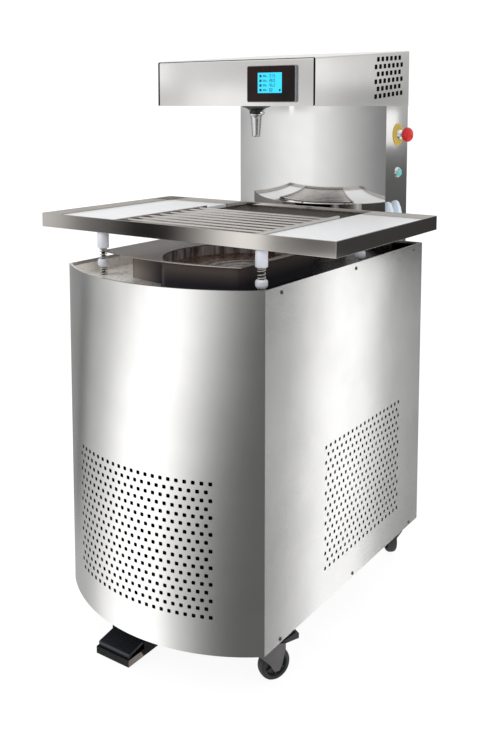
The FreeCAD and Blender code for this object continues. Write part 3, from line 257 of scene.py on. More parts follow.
def tyre_rubber():
    """Black rubber, dusty and worn on the running surface."""
    finish = Finish("tyre_rubber", (0.02, 0.02, 0.022), 0.6)
    dust = finish.noise(45.0, 5.0)
    finish.colours(dust, (0.012, 0.012, 0.013), (0.04, 0.04, 0.042))
    finish.roughness(dust, 0.5, 0.75)
    finish.bump(finish.noise(700.0, 3.0), 0.0001, 0.6)


GROUND = (0.80, 0.795, 0.785)
steel("skin_steel", GROUND, 0.20, (1, 1, 14))
steel("head_steel", (0.83, 0.82, 0.81), 0.09, (1, 1, 16), depth=0, uneven=0.03)
steel("polished_steel", (0.86, 0.855, 0.85), 0.09, (1, 1, 10), depth=0, uneven=0.02)
steel("mirror_steel", (0.87, 0.865, 0.86), 0.035, (1, 1, 10), depth=0, uneven=0.01)
steel("column_steel", (0.80, 0.79, 0.78), 0.13, (1, 1, 12), depth=0)
steel("brushed_steel", GROUND, 0.25, (14, 1, 14))
steel("table_steel", (0.55, 0.52, 0.49), 0.055, (1, 12, 12), depth=0, uneven=0.012, edge=0.6)
steel("ledge_steel", (0.27, 0.245, 0.23), 0.22, (1, 12, 12), edge=0.35)
steel("grille_steel", (0.64, 0.61, 0.585), 0.20, (1, 14, 14))
steel("basin_steel", (0.42, 0.38, 0.36), 0.22, (10, 10, 1), edge=0.6)
well_painted_shade()
painted_shade_steel()
filmed_steel()
cast("zinc_sheet", (0.55, 0.56, 0.58), 0.42, 1.0)
steel("spring_steel", (0.16, 0.15, 0.15), 0.30, (1, 1, 1))
cast("spring_wire", (0.60, 0.58, 0.53), 0.34, 0.5)
cast("black_enamel", (0.018, 0.018, 0.02), 0.38)
cast("motor_grey", (0.20, 0.22, 0.24), 0.45)
cast("cast_aluminium", (0.62, 0.62, 0.63), 0.42, 1.0)
steel("finned_aluminium", (0.22, 0.22, 0.23), 0.35, (40, 1, 1))
# Near-black sheet for the floor pan, fan shroud and drive shelf: painted shade for the cabinet's
# inside.
cast("shade_dark_inner_sheet", (0.09, 0.09, 0.095), 0.5, 0.6)
plastic("white_board", (0.94, 0.95, 0.96), 0.42, fade=0.975)
plastic("bush_plastic", (0.72, 0.74, 0.80), 0.38, fade=0.95)
cast("tray_black", (0.006, 0.006, 0.007), 0.55, edge=0.15)
cast("worn_steel", (0.30, 0.255, 0.235), 0.45, 0.6)
# Near-black finish of the sheets behind the vents: painted shade for the cabinet's inside.
cast("vent_shade_mat", (0.006, 0.006, 0.006), 0.9, edge=0.1)
plastic("black_plastic", (0.022, 0.023, 0.025), 0.42)
plastic("treadle_black", (0.010, 0.011, 0.017), 0.40)
plastic("grey_plastic", (0.24, 0.25, 0.26), 0.45)
plastic("connector_plastic", (0.70, 0.79, 0.90), 0.32)
dark_glass()
plastic("stop_yellow", (0.62, 0.46, 0.04), 0.36)
plastic("stop_red", (0.62, 0.018, 0.015), 0.28)
plastic("start_teal", (0.16, 0.68, 0.64), 0.20)
steel("chrome", (0.84, 0.84, 0.85), 0.07, (1, 1, 1), depth=0, uneven=0.02)
steel("nozzle_steel", (0.62, 0.62, 0.63), 0.26, (1, 1, 1))
tyre_rubber()
cast("fork_steel", (0.13, 0.125, 0.125), 0.36, 0.6)
chocolate()
lit_screen()
plastic("screen_ink", (0.012, 0.03, 0.09), 0.3)


# ---------------------------------------------------------------------------------------
# Mesh helpers
# ---------------------------------------------------------------------------------------
def solid(name, points, faces, angle=35):
    """A mesh object in place, smooth except across edges sharper than an angle."""
    mesh = bpy.data.meshes.new(name)
    mesh.from_pydata([tuple(point) for point in points], [], faces)
    mesh.update()
    mesh.shade_smooth()
    mesh.set_sharp_from_angle(angle=math.radians(angle))
    thing = bpy.data.objects.new(name, mesh)
    bpy.context.scene.collection.objects.link(thing)
    return thing


def keep(thing, body, slot, finish, *replaced):
    """Give a piece its finish and body, and hide the nodes it stands for; slot is not used."""
    thing.data.materials.append(FINISHES[finish])
    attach(thing, body)
    if replaced:
        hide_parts(*replaced)
    return thing


def bevelled(thing, width, segments=2, angle=35):
    """Round a piece's sharp edges."""
    bevel = thing.modifiers.new("edges", "BEVEL")
    bevel.width = width
    bevel.segments = segments
    bevel.limit_method = "ANGLE"
    bevel.angle_limit = math.radians(angle)
    bevel.harden_normals = True
    return thing


def frame_axes(direction):
    """Two directions square to a given one."""
    along = Vector(direction).normalized()
    helper = Vector((1, 0, 0)) if abs(along.x) < 0.9 else Vector((0, 1, 0))
    first = along.cross(helper).normalized()
    return first, along.cross(first)


def lathe_mesh(profile, origin, axis, steps=48):
    """Points and faces turned about an axis from (radius, height) pairs.

    A profile is closed only where its points lie on the axis.
    """
    origin, along = Vector(origin), Vector(axis).normalized()
    first, second = frame_axes(axis)
    points, faces, rings = [], [], []
    for radius, height in profile:
        centre = origin + along * height
        if radius <= 1e-7:
            rings.append([len(points)] * steps)
            points.append(centre)
            continue
        rings.append(list(range(len(points), len(points) + steps)))
        for step in range(steps):
            turn = 2 * math.pi * step / steps
            points.append(centre + (first * math.cos(turn) + second * math.sin(turn)) * radius)
    for lower, upper in zip(rings, rings[1:]):
        for step in range(steps):
            after = (step + 1) % steps
            corners = [lower[step], lower[after], upper[after], upper[step]]
            face = [c for i, c in enumerate(corners) if c not in corners[:i]]
            if len(face) > 2:
                faces.append(tuple(face))
    return points, faces


def lathe(name, profile, origin, axis=(0, 0, 1), steps=48, angle=35):
    """A turned piece."""
    points, faces = lathe_mesh(profile, origin, axis, steps)
    return solid(name, points, faces, angle)


def merged(name, parts, angle=35):
    """One mesh object from several lists of points and faces."""
    points, faces = [], []
    for some_points, some_faces in parts:
        base = len(points)
        points += list(some_points)
        faces += [tuple(base + corner for corner in face) for face in some_faces]
    return solid(name, points, faces, angle)


BOX_FACES = [(0, 3, 2, 1), (4, 5, 6, 7), (0, 1, 5, 4), (1, 2, 6, 5), (2, 3, 7, 6), (3, 0, 4, 7)]


def box_mesh(low, high):
    """Points and faces of a box between two corners."""
    (x0, y0, z0), (x1, y1, z1) = low, high
    return [Vector(p) for p in ((x0, y0, z0), (x1, y0, z0), (x1, y1, z0), (x0, y1, z0),
                                (x0, y0, z1), (x1, y0, z1), (x1, y1, z1), (x0, y1, z1))], BOX_FACES


def prism_mesh(outline, low, high, axis="x"):
    """Points and faces of an outline drawn out along an axis.

    The outline holds the two other coordinates in X, Y, Z order.
    """
    index = "xyz".index(axis)
    points = []
    for depth in (low, high):
        for pair in outline:
            where = list(pair)
            where.insert(index, depth)
            points.append(Vector(where))
    count = len(outline)
    area = sum(a[0] * b[1] - b[0] * a[1] for a, b in zip(outline, outline[1:] + outline[:1]))
    order = list(range(count))
    if (area > 0) != (axis != "y"):
        order.reverse()
    faces = [tuple(order[::-1]), tuple(corner + count for corner in order)]
    for here, after in zip(order, order[1:] + order[:1]):
        faces.append((here, after, after + count, here + count))
    return points, faces


def arc_points(centre, radius, start, end, count):
    """Points of an arc between two angles in degrees."""
    return [(centre[0] + radius * math.cos(math.radians(start + (end - start) * i / count)),
             centre[1] + radius * math.sin(math.radians(start + (end - start) * i / count)))
            for i in range(count + 1)]


def wire_mesh(line, radius, sides=8):
    """Points and faces of a round wire along a line, closed at both ends."""
    points, faces = [], []
    normal = frame_axes(line[1] - line[0])[0]
    for index, here in enumerate(line):
        before, after = line[max(index - 1, 0)], line[min(index + 1, len(line) - 1)]
        along = (after - before).normalized()
        normal = (normal - along * normal.dot(along)).normalized()
        side = along.cross(normal)
        for step in range(sides):
            turn = 2 * math.pi * step / sides
            points.append(here + (normal * math.cos(turn) + side * math.sin(turn)) * radius)
    for index in range(len(line) - 1):
        for step in range(sides):
            after = (step + 1) % sides
            faces.append((index * sides + step, index * sides + after,
                          (index + 1) * sides + after, (index + 1) * sides + step))
    faces.append(tuple(range(sides))[::-1])
    faces.append(tuple(range(len(points) - sides, len(points))))
    return points, faces


def spaced(low, high, step):
    """Even stations from low to high, about a step apart."""
    count = max(1, round((high - low) / step))
    return [low + (high - low) * index / count for index in range(count + 1)]


def sheet_metal(name, across, up, holes, hole, locate, thickness):
    """A bent sheet with rounded square holes.

    across and up are the grid's stations; locate turns a station pair into a point and its
    outward normal.  Each hole (i, j) is centred on line i in row j, and takes the place of
    the two cells beside that line.
    """
    outer, normals, faces = [], [], []

    def add(u, v):
        point, normal = locate(u, v)
        outer.append(point)
        normals.append(normal)
        return len(outer) - 1

    grid = [[add(u, v) for v in up] for u in across]
    taken = {(i - back, j) for i, j in holes for back in (0, 1)}
    faces += [(grid[i][j], grid[i + 1][j], grid[i + 1][j + 1], grid[i][j + 1])
              for i in range(len(across) - 1) for j in range(len(up) - 1)
              if (i, j) not in taken]
    for i, j in holes:
        wide, tall, corner = hole[0] / 2, hole[1] / 2, hole[2]
        u, v = across[i], (up[j] + up[j + 1]) / 2
        ring = [add(u + x, v + y) for x, y in (
            (corner - wide, -tall), (wide - corner, -tall), (wide, corner - tall),
            (wide, tall - corner), (wide - corner, tall), (corner - wide, tall),
            (-wide, tall - corner), (-wide, corner - tall))]
        a, b, c = grid[i - 1][j], grid[i][j], grid[i + 1][j]
        d, e, f = grid[i + 1][j + 1], grid[i][j + 1], grid[i - 1][j + 1]
        faces += [(a, b, c, ring[1], ring[0]), (c, ring[2], ring[1]),
                  (c, d, ring[3], ring[2]), (d, ring[4], ring[3]),
                  (d, e, f, ring[5], ring[4]), (f, ring[6], ring[5]),
                  (f, a, ring[7], ring[6]), (a, ring[0], ring[7])]
    count = len(outer)
    inner = [point - normal * thickness for point, normal in zip(outer, normals)]
    edges = {pair for face in faces for pair in zip(face, face[1:] + face[:1])}
    walls = [(b, a, a + count, b + count) for a, b in sorted(edges) if (b, a) not in edges]
    back = [tuple(corner + count for corner in reversed(face)) for face in faces]
    thing = solid(name, outer + inner, faces + back + walls)
    mesh = thing.data
    mesh.shade_smooth()
    split = []
    for polygon in mesh.polygons:
        for corner in polygon.vertices:
            if polygon.index < len(faces):
                split.append(normals[corner])
            elif polygon.index < 2 * len(faces):
                split.append(-normals[corner - count])
            else:
                split.append(polygon.normal)
    mesh.normals_split_custom_set(split)
    return thing


def on_arc(apex, rise, half_width):
    """Where a bowed sheet's arc length and height lie, and the sheet's half length.

    apex is the y of its foremost line, and rise how far its sides lie behind it.
    """
    radius = (half_width ** 2 + rise ** 2) / (2 * rise)
    centre = apex + radius

    def locate(u, v):
        turn = u / radius
        normal = Vector((math.sin(turn), -math.cos(turn), 0))
        return Vector((0, centre, v)) + normal * radius, normal

    return locate, radius * math.asin(half_width / radius)



# ---------------------------------------------------------------------------------------
# Cabinet
# ---------------------------------------------------------------------------------------
SHEET = 0.002
VENT_SHEET = 0.0012
VENT_ROWS = 17
ROW_PITCH = 0.0186
VENT_HOLE = (0.0088, 0.0088, 0.0016)


def hole_rows(first_line, count, shifted_count, shift):
    """Line and row numbers of a vent's holes, two lines apart; every other row is shifted."""
    return [(first_line + 2 * number + (shift if row % 2 else 0), 1 + row)
            for row in range(VENT_ROWS)
            for number in range(shifted_count if row % 2 else count)]


def row_edges(low, first_z, high):
    """Heights of a vented sheet's ends and of the edges of its rows of holes."""
    return [low] + [first_z + ROW_PITCH * (n - 0.5) for n in range(VENT_ROWS + 1)] + [high]


def front_skin():
    """Bowed front with a field of square holes, and its folded rim."""
    low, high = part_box("front_skin")
    locate, reach = on_arc(low.y, high.y - low.y, high.x)
    pitch, first_x, first_z, count = 0.0192, -0.2016, 0.191, 21
    lines = [first_x + pitch / 2 * n for n in range(-1, 2 * count + 1)]
    across = (spaced(-reach, lines[0], pitch / 2)[:-1] + lines
              + spaced(lines[-1], reach, pitch / 2)[1:])
    holes = hole_rows(across.index(lines[1]) + 1, count, count, -1)
    thing = sheet_metal("bowed_front", across, row_edges(low.z, first_z, high.z), holes,
                        VENT_HOLE, locate, VENT_SHEET)
    keep(thing, "cabinet", "brushed_steel", "skin_steel", "front_skin")

    fold, rim_sheet = 0.007, 0.0015
    edge = [locate(u, 0) for u in spaced(-reach, reach, 0.02)]
    line = [point for point, normal in edge]
    line += [point - normal * fold for point, normal in reversed(edge)]
    outline = [(point.x, point.y) for point in line]
    rim = merged("front_rim", [prism_mesh(outline, high.z - rim_sheet, high.z, "z")])
    keep(bevelled(rim, 0.0005, 2), "cabinet", "brushed_steel", "skin_steel")


def side_panel(side):
    """Flat side with a field of square holes."""
    node = side + "_side_panel"
    low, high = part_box(node)
    sign = 1 if side == "right" else -1
    outer = high.x if side == "right" else low.x
    pitch, first_y, first_z, count = 0.0219, -0.0845, 0.1885, 19

    def locate(u, v):
        return Vector((outer, sign * u, v)), Vector((sign, 0, 0))

    lines = [first_y + pitch / 2 * n for n in range(-1, 2 * count)]
    stations = [low.y] + lines + [high.y]
    across = stations if side == "right" else [-y for y in reversed(stations)]
    thing = sheet_metal(side + "_panel", across, row_edges(low.z, first_z, high.z),
                        hole_rows(2, count, count - 1, 1), VENT_HOLE, locate, VENT_SHEET)
    keep(thing, "cabinet", "brushed_steel", "skin_steel", node)


def vent_shade_mats():
    """Dark quilted sheets behind the side vents that stand for the shade inside, so that nothing
    shows right through.
    """
    margin, cell, thick, puff, behind = 0.012, 0.011, 0.0010, 0.0003, 0.0034
    # Where each mat is, the sheet it lies behind, its ends, and its top's rise to the rear
    vents = [("cabinet", "right_side_panel", (-0.0955, 0.3206), (0.180, 0.495), 0.0),
             ("head", "head_shell", (0.230, 0.410), (1.298, 1.402), 0.076)]
    for (place, sheet, y_ends, z_ends, rise), sign in ((vent, side) for vent in vents
                                                       for side in (-1, 1)):
        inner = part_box(sheet)[1].x - behind
        ys = spaced(y_ends[0] - margin, y_ends[1] + margin, cell)
        zs = spaced(z_ends[0] - margin, z_ends[1] + margin, cell)
        rows, count = len(zs), len(ys) * len(zs)
        points = [Vector((sign * (inner - depth - puff * ((i + j) % 2)), y,
                          z + rise * (y - ys[0]) * j / (rows - 1)))
                  for depth in (0, thick) for i, y in enumerate(ys) for j, z in enumerate(zs)]
        cells = [i * rows + j for i in range(len(ys) - 1) for j in range(rows - 1)]
        faces = [(a, a + rows, a + rows + 1, a + 1) for a in cells]
        faces += [tuple(corner + count for corner in reversed(face)) for face in faces]
        edge = ([i * rows for i in range(len(ys))]
                + [(len(ys) - 1) * rows + j for j in range(1, rows)]
                + [i * rows + rows - 1 for i in range(len(ys) - 2, -1, -1)]
                + list(range(rows - 2, 0, -1)))
        faces += [(b, a, a + count, b + count) for a, b in zip(edge, edge[1:] + edge[:1])]
        if sign < 0:
            faces = [face[::-1] for face in faces]
        name = "%s_%s_mat" % (place, "right" if sign > 0 else "left")
        keep(solid(name, points, faces, 60), "cabinet", "black_plastic", "vent_shade_mat")


def panel_screws():
    """Pan-head screws that fix the side panels, in one mesh."""
    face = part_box("right_side_panel")[1].x
    places = [(side, y, z) for side in (1, -1) for y in (-0.283, 0.055, 0.393)
              for z in (0.891, 0.114)]
    profile = [(0.0045, 0), (0.0045, 0.0008), (0.0034, 0.0019), (0.0016, 0.0022),
               (0.0014, 0.0012), (0, 0.0011)]
    parts = [lathe_mesh(profile, (side * face, y, z), (side, 0, 0), 20)
             for side, y, z in places]
    keep(merged("panel_screws", parts), "cabinet", "black_enamel", "spring_steel")


def rear_panel():
    """Removable rear sheet with a folded edge and its screws."""
    low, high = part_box("rear_panel")
    margin, fold, inset = 0.006, 0.0006, 0.02
    parts = [box_mesh((low.x + margin, low.y, low.z + margin),
                      (high.x - margin, high.y, high.z - margin)),
             box_mesh((low.x, low.y, low.z), (high.x, high.y - fold, high.z))]
    thing = bevelled(merged("rear_sheet", parts), 0.0004, 1)
    keep(thing, "cabinet", "brushed_steel", "brushed_steel", "rear_panel")
    profile = [(0.0045, -0.0004), (0.0045, 0), (0, 0)]
    screws = [lathe_mesh(profile, (x, high.y, z), (0, 1, 0), 20)
              for x in (low.x + inset, 0, high.x - inset)
              for z in (low.z + inset, (low.z + high.z) / 2, high.z - inset)]
    keep(merged("rear_screws", screws), "cabinet", "brushed_steel", "spring_steel")


class Mouth:
    """Plan of the basin, measured from the agitator's axis in every direction."""

    def __init__(self):
        low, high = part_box("basin")
        rise, self.lip = 0.036, 0.009
        self.half, self.back = high.x, high.y
        self.bow = (self.half ** 2 + rise ** 2) / (2 * rise)
        self.centre = Vector((0, low.y + self.bow, 0))
        self.arc_centre, self.arc = Vector((0.135, -0.185, 0)), 0.200
        self.right = 0.188
        self.axis = Vector((0.065, -0.165, 0))
        corners = [(x, y) for x in (-self.half, self.half)
                   for y in (self.back, low.y + rise)]
        turns = [math.atan2(y - self.axis.y, x - self.axis.x) for x, y in corners]
        turns += [2 * math.pi * n / 160 for n in range(-80, 80)]
        self.ways = [Vector((math.cos(t), math.sin(t), 0)) for t in sorted(turns)]

    @staticmethod
    def to_circle(start, way, radius):
        """Distance from a point inside a circle about the origin to its edge."""
        b = start.dot(way)
        return -b + math.sqrt(b * b - start.dot(start) + radius ** 2)

    def tank(self, way, grow=0.0):
        """Distance to the tank's wall, which is moved outwards by grow."""
        reach = min(self.to_circle(self.axis - self.arc_centre, way, self.arc + grow),
                    self.to_circle(self.axis - self.centre, way, self.bow - self.lip + grow))
        if way.x > 1e-6:
            reach = min(reach, (self.right + grow - self.axis.x) / way.x)
        return reach

    def flange(self, way):
        """Distance to the flange's edge."""
        reach = 9.0
        if abs(way.x) > 1e-6:
            reach = (math.copysign(self.half, way.x) - self.axis.x) / way.x
        if way.y > 1e-6:
            reach = min(reach, (self.back - self.axis.y) / way.y)
        return min(reach, self.to_circle(self.axis - self.centre, way, self.bow))


def basin():
    """Thin flange, tank with painted shade and its film of chocolate, and the skirt behind it,
    with the same painted shade.
    """
    plan = Mouth()
    low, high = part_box("basin")
    plate, wall, hole = 0.002, 0.002, 0.0093
    count = len(plan.ways)

    def turned_sheet(name, rings, finish, *replaced):
        """A closed sheet through rings of (distance in a direction, height)."""
        points, faces = [], []
        for reach, z in rings:
            points += [plan.axis + way * reach(way) + Vector((0, 0, z)) for way in plan.ways]
        for ring in range(len(rings)):
            a, b = ring * count, (ring + 1) % len(rings) * count
            faces += [(a + n, a + (n + 1) % count, b + (n + 1) % count, b + n)
                      for n in range(count)]
        sheet = bevelled(solid(name, points, faces, 30), 0.0004, 1, 50)
        return keep(sheet, "cabinet", "polished_steel", finish, *replaced)

    under = high.z - plate
    turned_sheet("basin_flange", [(lambda way: plan.tank(way, wall), under),
                                  (plan.flange, under), (plan.flange, high.z),
                                  (plan.tank, high.z), (plan.tank, under)],
                 "basin_steel", "basin")
    turned_sheet("basin_tank", [(lambda way: hole, low.z),
                                (lambda way: plan.tank(way, wall), low.z),
                                (lambda way: plan.tank(way, wall), under),
                                (plan.tank, under), (plan.tank, low.z + wall),
                                (lambda way: hole, low.z + wall)], "painted_shade_steel")

    inset, base = 0.060, high.z - 0.067
    side, back = plan.half - inset, plan.back - inset
    front = [(x, plan.centre.y - math.sqrt((plan.bow - inset) ** 2 - x * x))
             for x in (-0.0384, -0.064, -0.090, -0.117, -side)]
    right_end = 0.0175
    path = front + [(-side, back), (side, back), (side, right_end)]
    parts = [box_mesh((min(a[0], b[0]) - wall / 2, min(a[1], b[1]) - wall / 2, base),
                      (max(a[0], b[0]) + wall / 2, max(a[1], b[1]) + wall / 2, under))
             for a, b in zip(path[4:], path[5:])]
    outline = front + [(x, y + wall) for x, y in front[::-1]]
    parts.append(prism_mesh(outline, base, under, "z"))
    keep(merged("basin_skirt", parts), "cabinet", "polished_steel", "painted_shade_steel")

    film, film_top, film_foot = 0.0004, 0.003, 0.034
    points = [plan.axis + way * (plan.tank(way) - film) + Vector((0, 0, z))
              for z in (high.z - film_foot, high.z - film_top) for way in plan.ways]
    faces = [(step, (step + 1) % count, count + (step + 1) % count, count + step)[::-1]
             for step in range(count)]
    keep(solid("tank_film", points, faces, 30), "cabinet", "polished_steel", "filmed_steel")


def chocolate_pool():
    """Melted chocolate in the tank, with the swirl that the agitator leaves."""
    plan = Mouth()
    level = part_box("basin")[1].z - 0.030
    gap, rings = 0.0015, 40
    arms, twist, swell = 2, 34, 0.0016          # the swirl's arms, their turn and height
    hollow, hollow_reach = 0.006, 0.05          # how far it is drawn down at the agitator
    climb, climb_from = 0.004, 0.93             # how far it clings to the wall
    spokes = len(plan.ways)
    points, faces = [plan.axis + Vector((0, 0, level - hollow))], []
    for ring in range(1, rings + 1):
        part = ring / rings
        for way in plan.ways:
            distance = (plan.tank(way) - gap) * part
            turn = math.atan2(way.y, way.x)
            wave = math.sin(arms * turn + twist * part) * swell * part * (1.15 - part)
            dip = -hollow * math.exp(-(distance / hollow_reach) ** 2)
            cling = climb * max(0.0, part - climb_from) / 0.07
            points.append(plan.axis + way * distance + Vector((0, 0, level + wave + dip + cling)))
    for spoke in range(spokes):
        after = (spoke + 1) % spokes
        faces.append((0, 1 + spoke, 1 + after))
        for ring in range(rings - 1):
            a, b = 1 + ring * spokes, 1 + (ring + 1) * spokes
            faces.append((a + spoke, b + spoke, b + after, a + after))
    pool = solid("chocolate_pool", points, faces, 80)
    keep(pool, "cabinet", "polished_steel", "chocolate")


# ---------------------------------------------------------------------------------------
# Column and head
# ---------------------------------------------------------------------------------------
def column():
    """Mirror-polished bowed front on a brushed channel."""
    low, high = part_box("column_front")
    locate, reach = on_arc(low.y, high.y - low.y, high.x)
    across = spaced(-reach, reach, 0.008)
    up = [low.z, high.z]
    front = sheet_metal("column_bow", across, up, [], None, locate, SHEET)
    keep(front, "cabinet", "polished_steel", "mirror_steel", "column_front")

    low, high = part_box("column_shell")
    bend = 0.003
    outer = [(low.x, low.y), (low.x, high.y - bend)]
    outer += arc_points((low.x + bend, high.y - bend), bend, 180, 90, 5)[1:]
    outer += arc_points((high.x - bend, high.y - bend), bend, 90, 0, 5)
    outer += [(high.x, low.y)]
    inner_bend = bend - SHEET
    inner = [(high.x - SHEET, low.y)]
    inner += arc_points((high.x - bend, high.y - bend), inner_bend, 0, 90, 5)
    inner += arc_points((low.x + bend, high.y - bend), inner_bend, 90, 180, 5)
    inner += [(low.x + SHEET, low.y)]
    channel = merged("column_channel", [prism_mesh(outer + inner, low.z, high.z, "z")])
    keep(channel, "cabinet", "brushed_steel", "column_steel", "column_shell")


def head():
    """Folded hood with vents in both sides, its rear sheet, and front panel with a seam."""
    low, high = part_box("head_shell")
    front_top = 1.396
    slope = (high.z - front_top) / (high.y - low.y)
    bend = 0.005
    side = high.z - low.z - bend
    quarter = bend * math.pi / 2
    flat = high.x - bend
    pitch, row_pitch, first_row = 0.0257, 0.0190, 0.0174
    first_y, count = 0.243, 7

    hole = (0.0160, 0.0122, 0.0018)

    # u runs from the front to the rear; v runs round the hood from the right foot over the
    # top to the left foot, measured from the middle of the top.  Rows follow the top's slope,
    # and those that would pass the foot in front close up there.
    def locate(u, v):
        rise = (u - low.y) * slope
        sign = -1 if v > 0 else 1
        distance = abs(v)
        if distance <= flat:
            return (Vector((-v, u, front_top + rise)),
                    Vector((0, -slope, 1)).normalized())
        if distance <= flat + quarter:
            turn = (distance - flat) / bend
            centre = Vector((sign * flat, u, front_top + rise - bend))
            normal = Vector((sign * math.sin(turn), -slope * math.cos(turn), math.cos(turn)))
            return (centre + Vector((sign * math.sin(turn), 0, math.cos(turn))) * bend,
                    normal.normalized())
        fall = distance - flat - quarter
        z = max(front_top + rise - bend - fall, low.z + 0.02 * (side - fall))
        return Vector((sign * high.x, u, z)), Vector((sign, 0, 0))

    top_row = flat + quarter + first_row - bend
    rows = [top_row + row_pitch * (n - 0.5) for n in range(7)]
    folds = [flat + quarter * n / 4 for n in range(5)]
    half = folds + rows + [flat + quarter + side]
    up = [-v for v in reversed(half)] + half
    lines = [first_y + pitch / 2 * n for n in range(-1, 2 * count)]
    across = [low.y] + spaced(low.y, lines[0], 0.07)[1:-1] + lines + [high.y]
    first, lowest = across.index(lines[1]), up.index(rows[0])
    holes = []
    for row in range(6):
        shifted = (row + 1) % 2
        for number in range(count - shifted):
            line = first + 2 * number + shifted
            holes.append((line, lowest + row))
            holes.append((line, len(up) - 2 - lowest - row))
    hood = sheet_metal("hood", across, up, holes, hole, locate, VENT_SHEET)
    back = box_mesh((low.x + SHEET, high.y - SHEET, low.z),
                    (high.x - SHEET, high.y, high.z - SHEET * 1.2))
    keep(hood, "cabinet", "brushed_steel", "head_steel", "head_shell")
    rear = bevelled(merged("hood_rear", [back]), 0.0005, 1)
    keep(rear, "cabinet", "brushed_steel", "head_steel")

    low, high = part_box("head_front_panel")
    edge, step = 0.003, 0.0006
    fold = arc_points((low.y + edge, high.z - edge), edge, 90, 180, 5)
    # The short step under the fold keeps the fold's rounding out of the flat's shading
    outline = fold + [(low.y, high.z - edge - step), (low.y, low.z), (low.y + SHEET, low.z),
                      (low.y + SHEET, high.z - edge), (low.y + edge, high.z - SHEET)]
    parts = [prism_mesh(outline, low.x, high.x, "x")]
    for x in (low.x, high.x - SHEET):
        parts.append(box_mesh((x, low.y + SHEET, low.z + SHEET),
                              (x + SHEET, high.y, high.z - edge)))
    panel = merged("head_front", parts)
    keep(panel, "cabinet", "brushed_steel", "head_steel", "head_front_panel")


def display():
    """Dark glass frame with a lit screen that shows plain bars and figures."""
    low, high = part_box("display_bezel")
    screen_low, screen_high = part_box("display_screen")
    radius, rim = 0.004, []
    face, glass_back = low.y + 0.0002, low.y + 0.0012
    for centre, start in (((high.x - radius, high.z - radius), 0),
                          ((low.x + radius, high.z - radius), 90),
                          ((low.x + radius, low.z + radius), 180),
                          ((high.x - radius, low.z + radius), 270)):
        rim += arc_points(centre, radius, start, start + 90, 6)
    body = bevelled(merged("display_frame", [prism_mesh(rim, glass_back, high.y, "y")]),
                    0.0006, 2)
    keep(body, "cabinet", "bezel_plastic", "grey_plastic", "display_bezel")
    inset = 0.0015
    middle_x, middle_z = (low.x + high.x) / 2, (low.z + high.z) / 2
    glass_rim = [(middle_x + (x - middle_x) * (1 - 2 * inset / (high.x - low.x)),
                  middle_z + (z - middle_z) * (1 - 2 * inset / (high.z - low.z)))
                 for x, z in rim]
    glass = bevelled(merged("display_glass", [prism_mesh(glass_rim, face, glass_back, "y")]),
                     0.0003, 2)
    keep(glass, "cabinet", "bezel_plastic", "dark_glass")

    thin = 0.00025
    lit = merged("display_light", [box_mesh((screen_low.x, face - thin, screen_low.z),
                                            (screen_high.x, face, screen_high.z))])
    bevelled(lit, 0.0002, 1)
    keep(lit, "cabinet", "screen_glass", "lit_screen", "display_screen")

    ink = []
    front = face - thin * 2

    def bar(x, z, width, height):
        ink.append(box_mesh((screen_low.x + x, front, screen_low.z + z),
                            (screen_low.x + x + width, face - thin, screen_low.z + z + height)))

    segments = {"0": "abcdef", "1": "bc", "2": "abged", "3": "abgcd", "4": "fgbc",
                "5": "afgcd", "6": "afgedc", "7": "abc", "8": "abcdefg", "9": "abcdfg"}

    def figure(text, x, z, height):
        width, line = height * 0.5, height * 0.12
        for sign in text:
            if sign == ".":
                bar(x, z, line, line)
                x += line * 2.4
                continue
            places = {"a": (x, z + height - line, width, line), "d": (x, z, width, line),
                      "g": (x, z + (height - line) / 2, width, line),
                      "f": (x, z + height / 2, line, height / 2), "e": (x, z, line, height / 2),
                      "b": (x + width - line, z + height / 2, line, height / 2),
                      "c": (x + width - line, z, line, height / 2)}
            for segment in segments[sign]:
                bar(*places[segment])
            x += width * 1.35

    tall = screen_high.z - screen_low.z
    for number, text in enumerate(("31.5", "28.0", "45.2", "60")):
        z = tall - (number + 1) * tall / 4.35
        bar(0.005, z, 0.006, 0.006)
        for rise, length in ((0.0012, 0.012), (0.0038, 0.009)):
            bar(0.0145, z + rise, length, 0.0014)
        figure(text, 0.033, z - 0.0004, 0.0075)
    bar(0.060, 0.004, 0.005, 0.005)
    keep(merged("display_figures", ink), "cabinet", "screen_glass", "screen_ink")


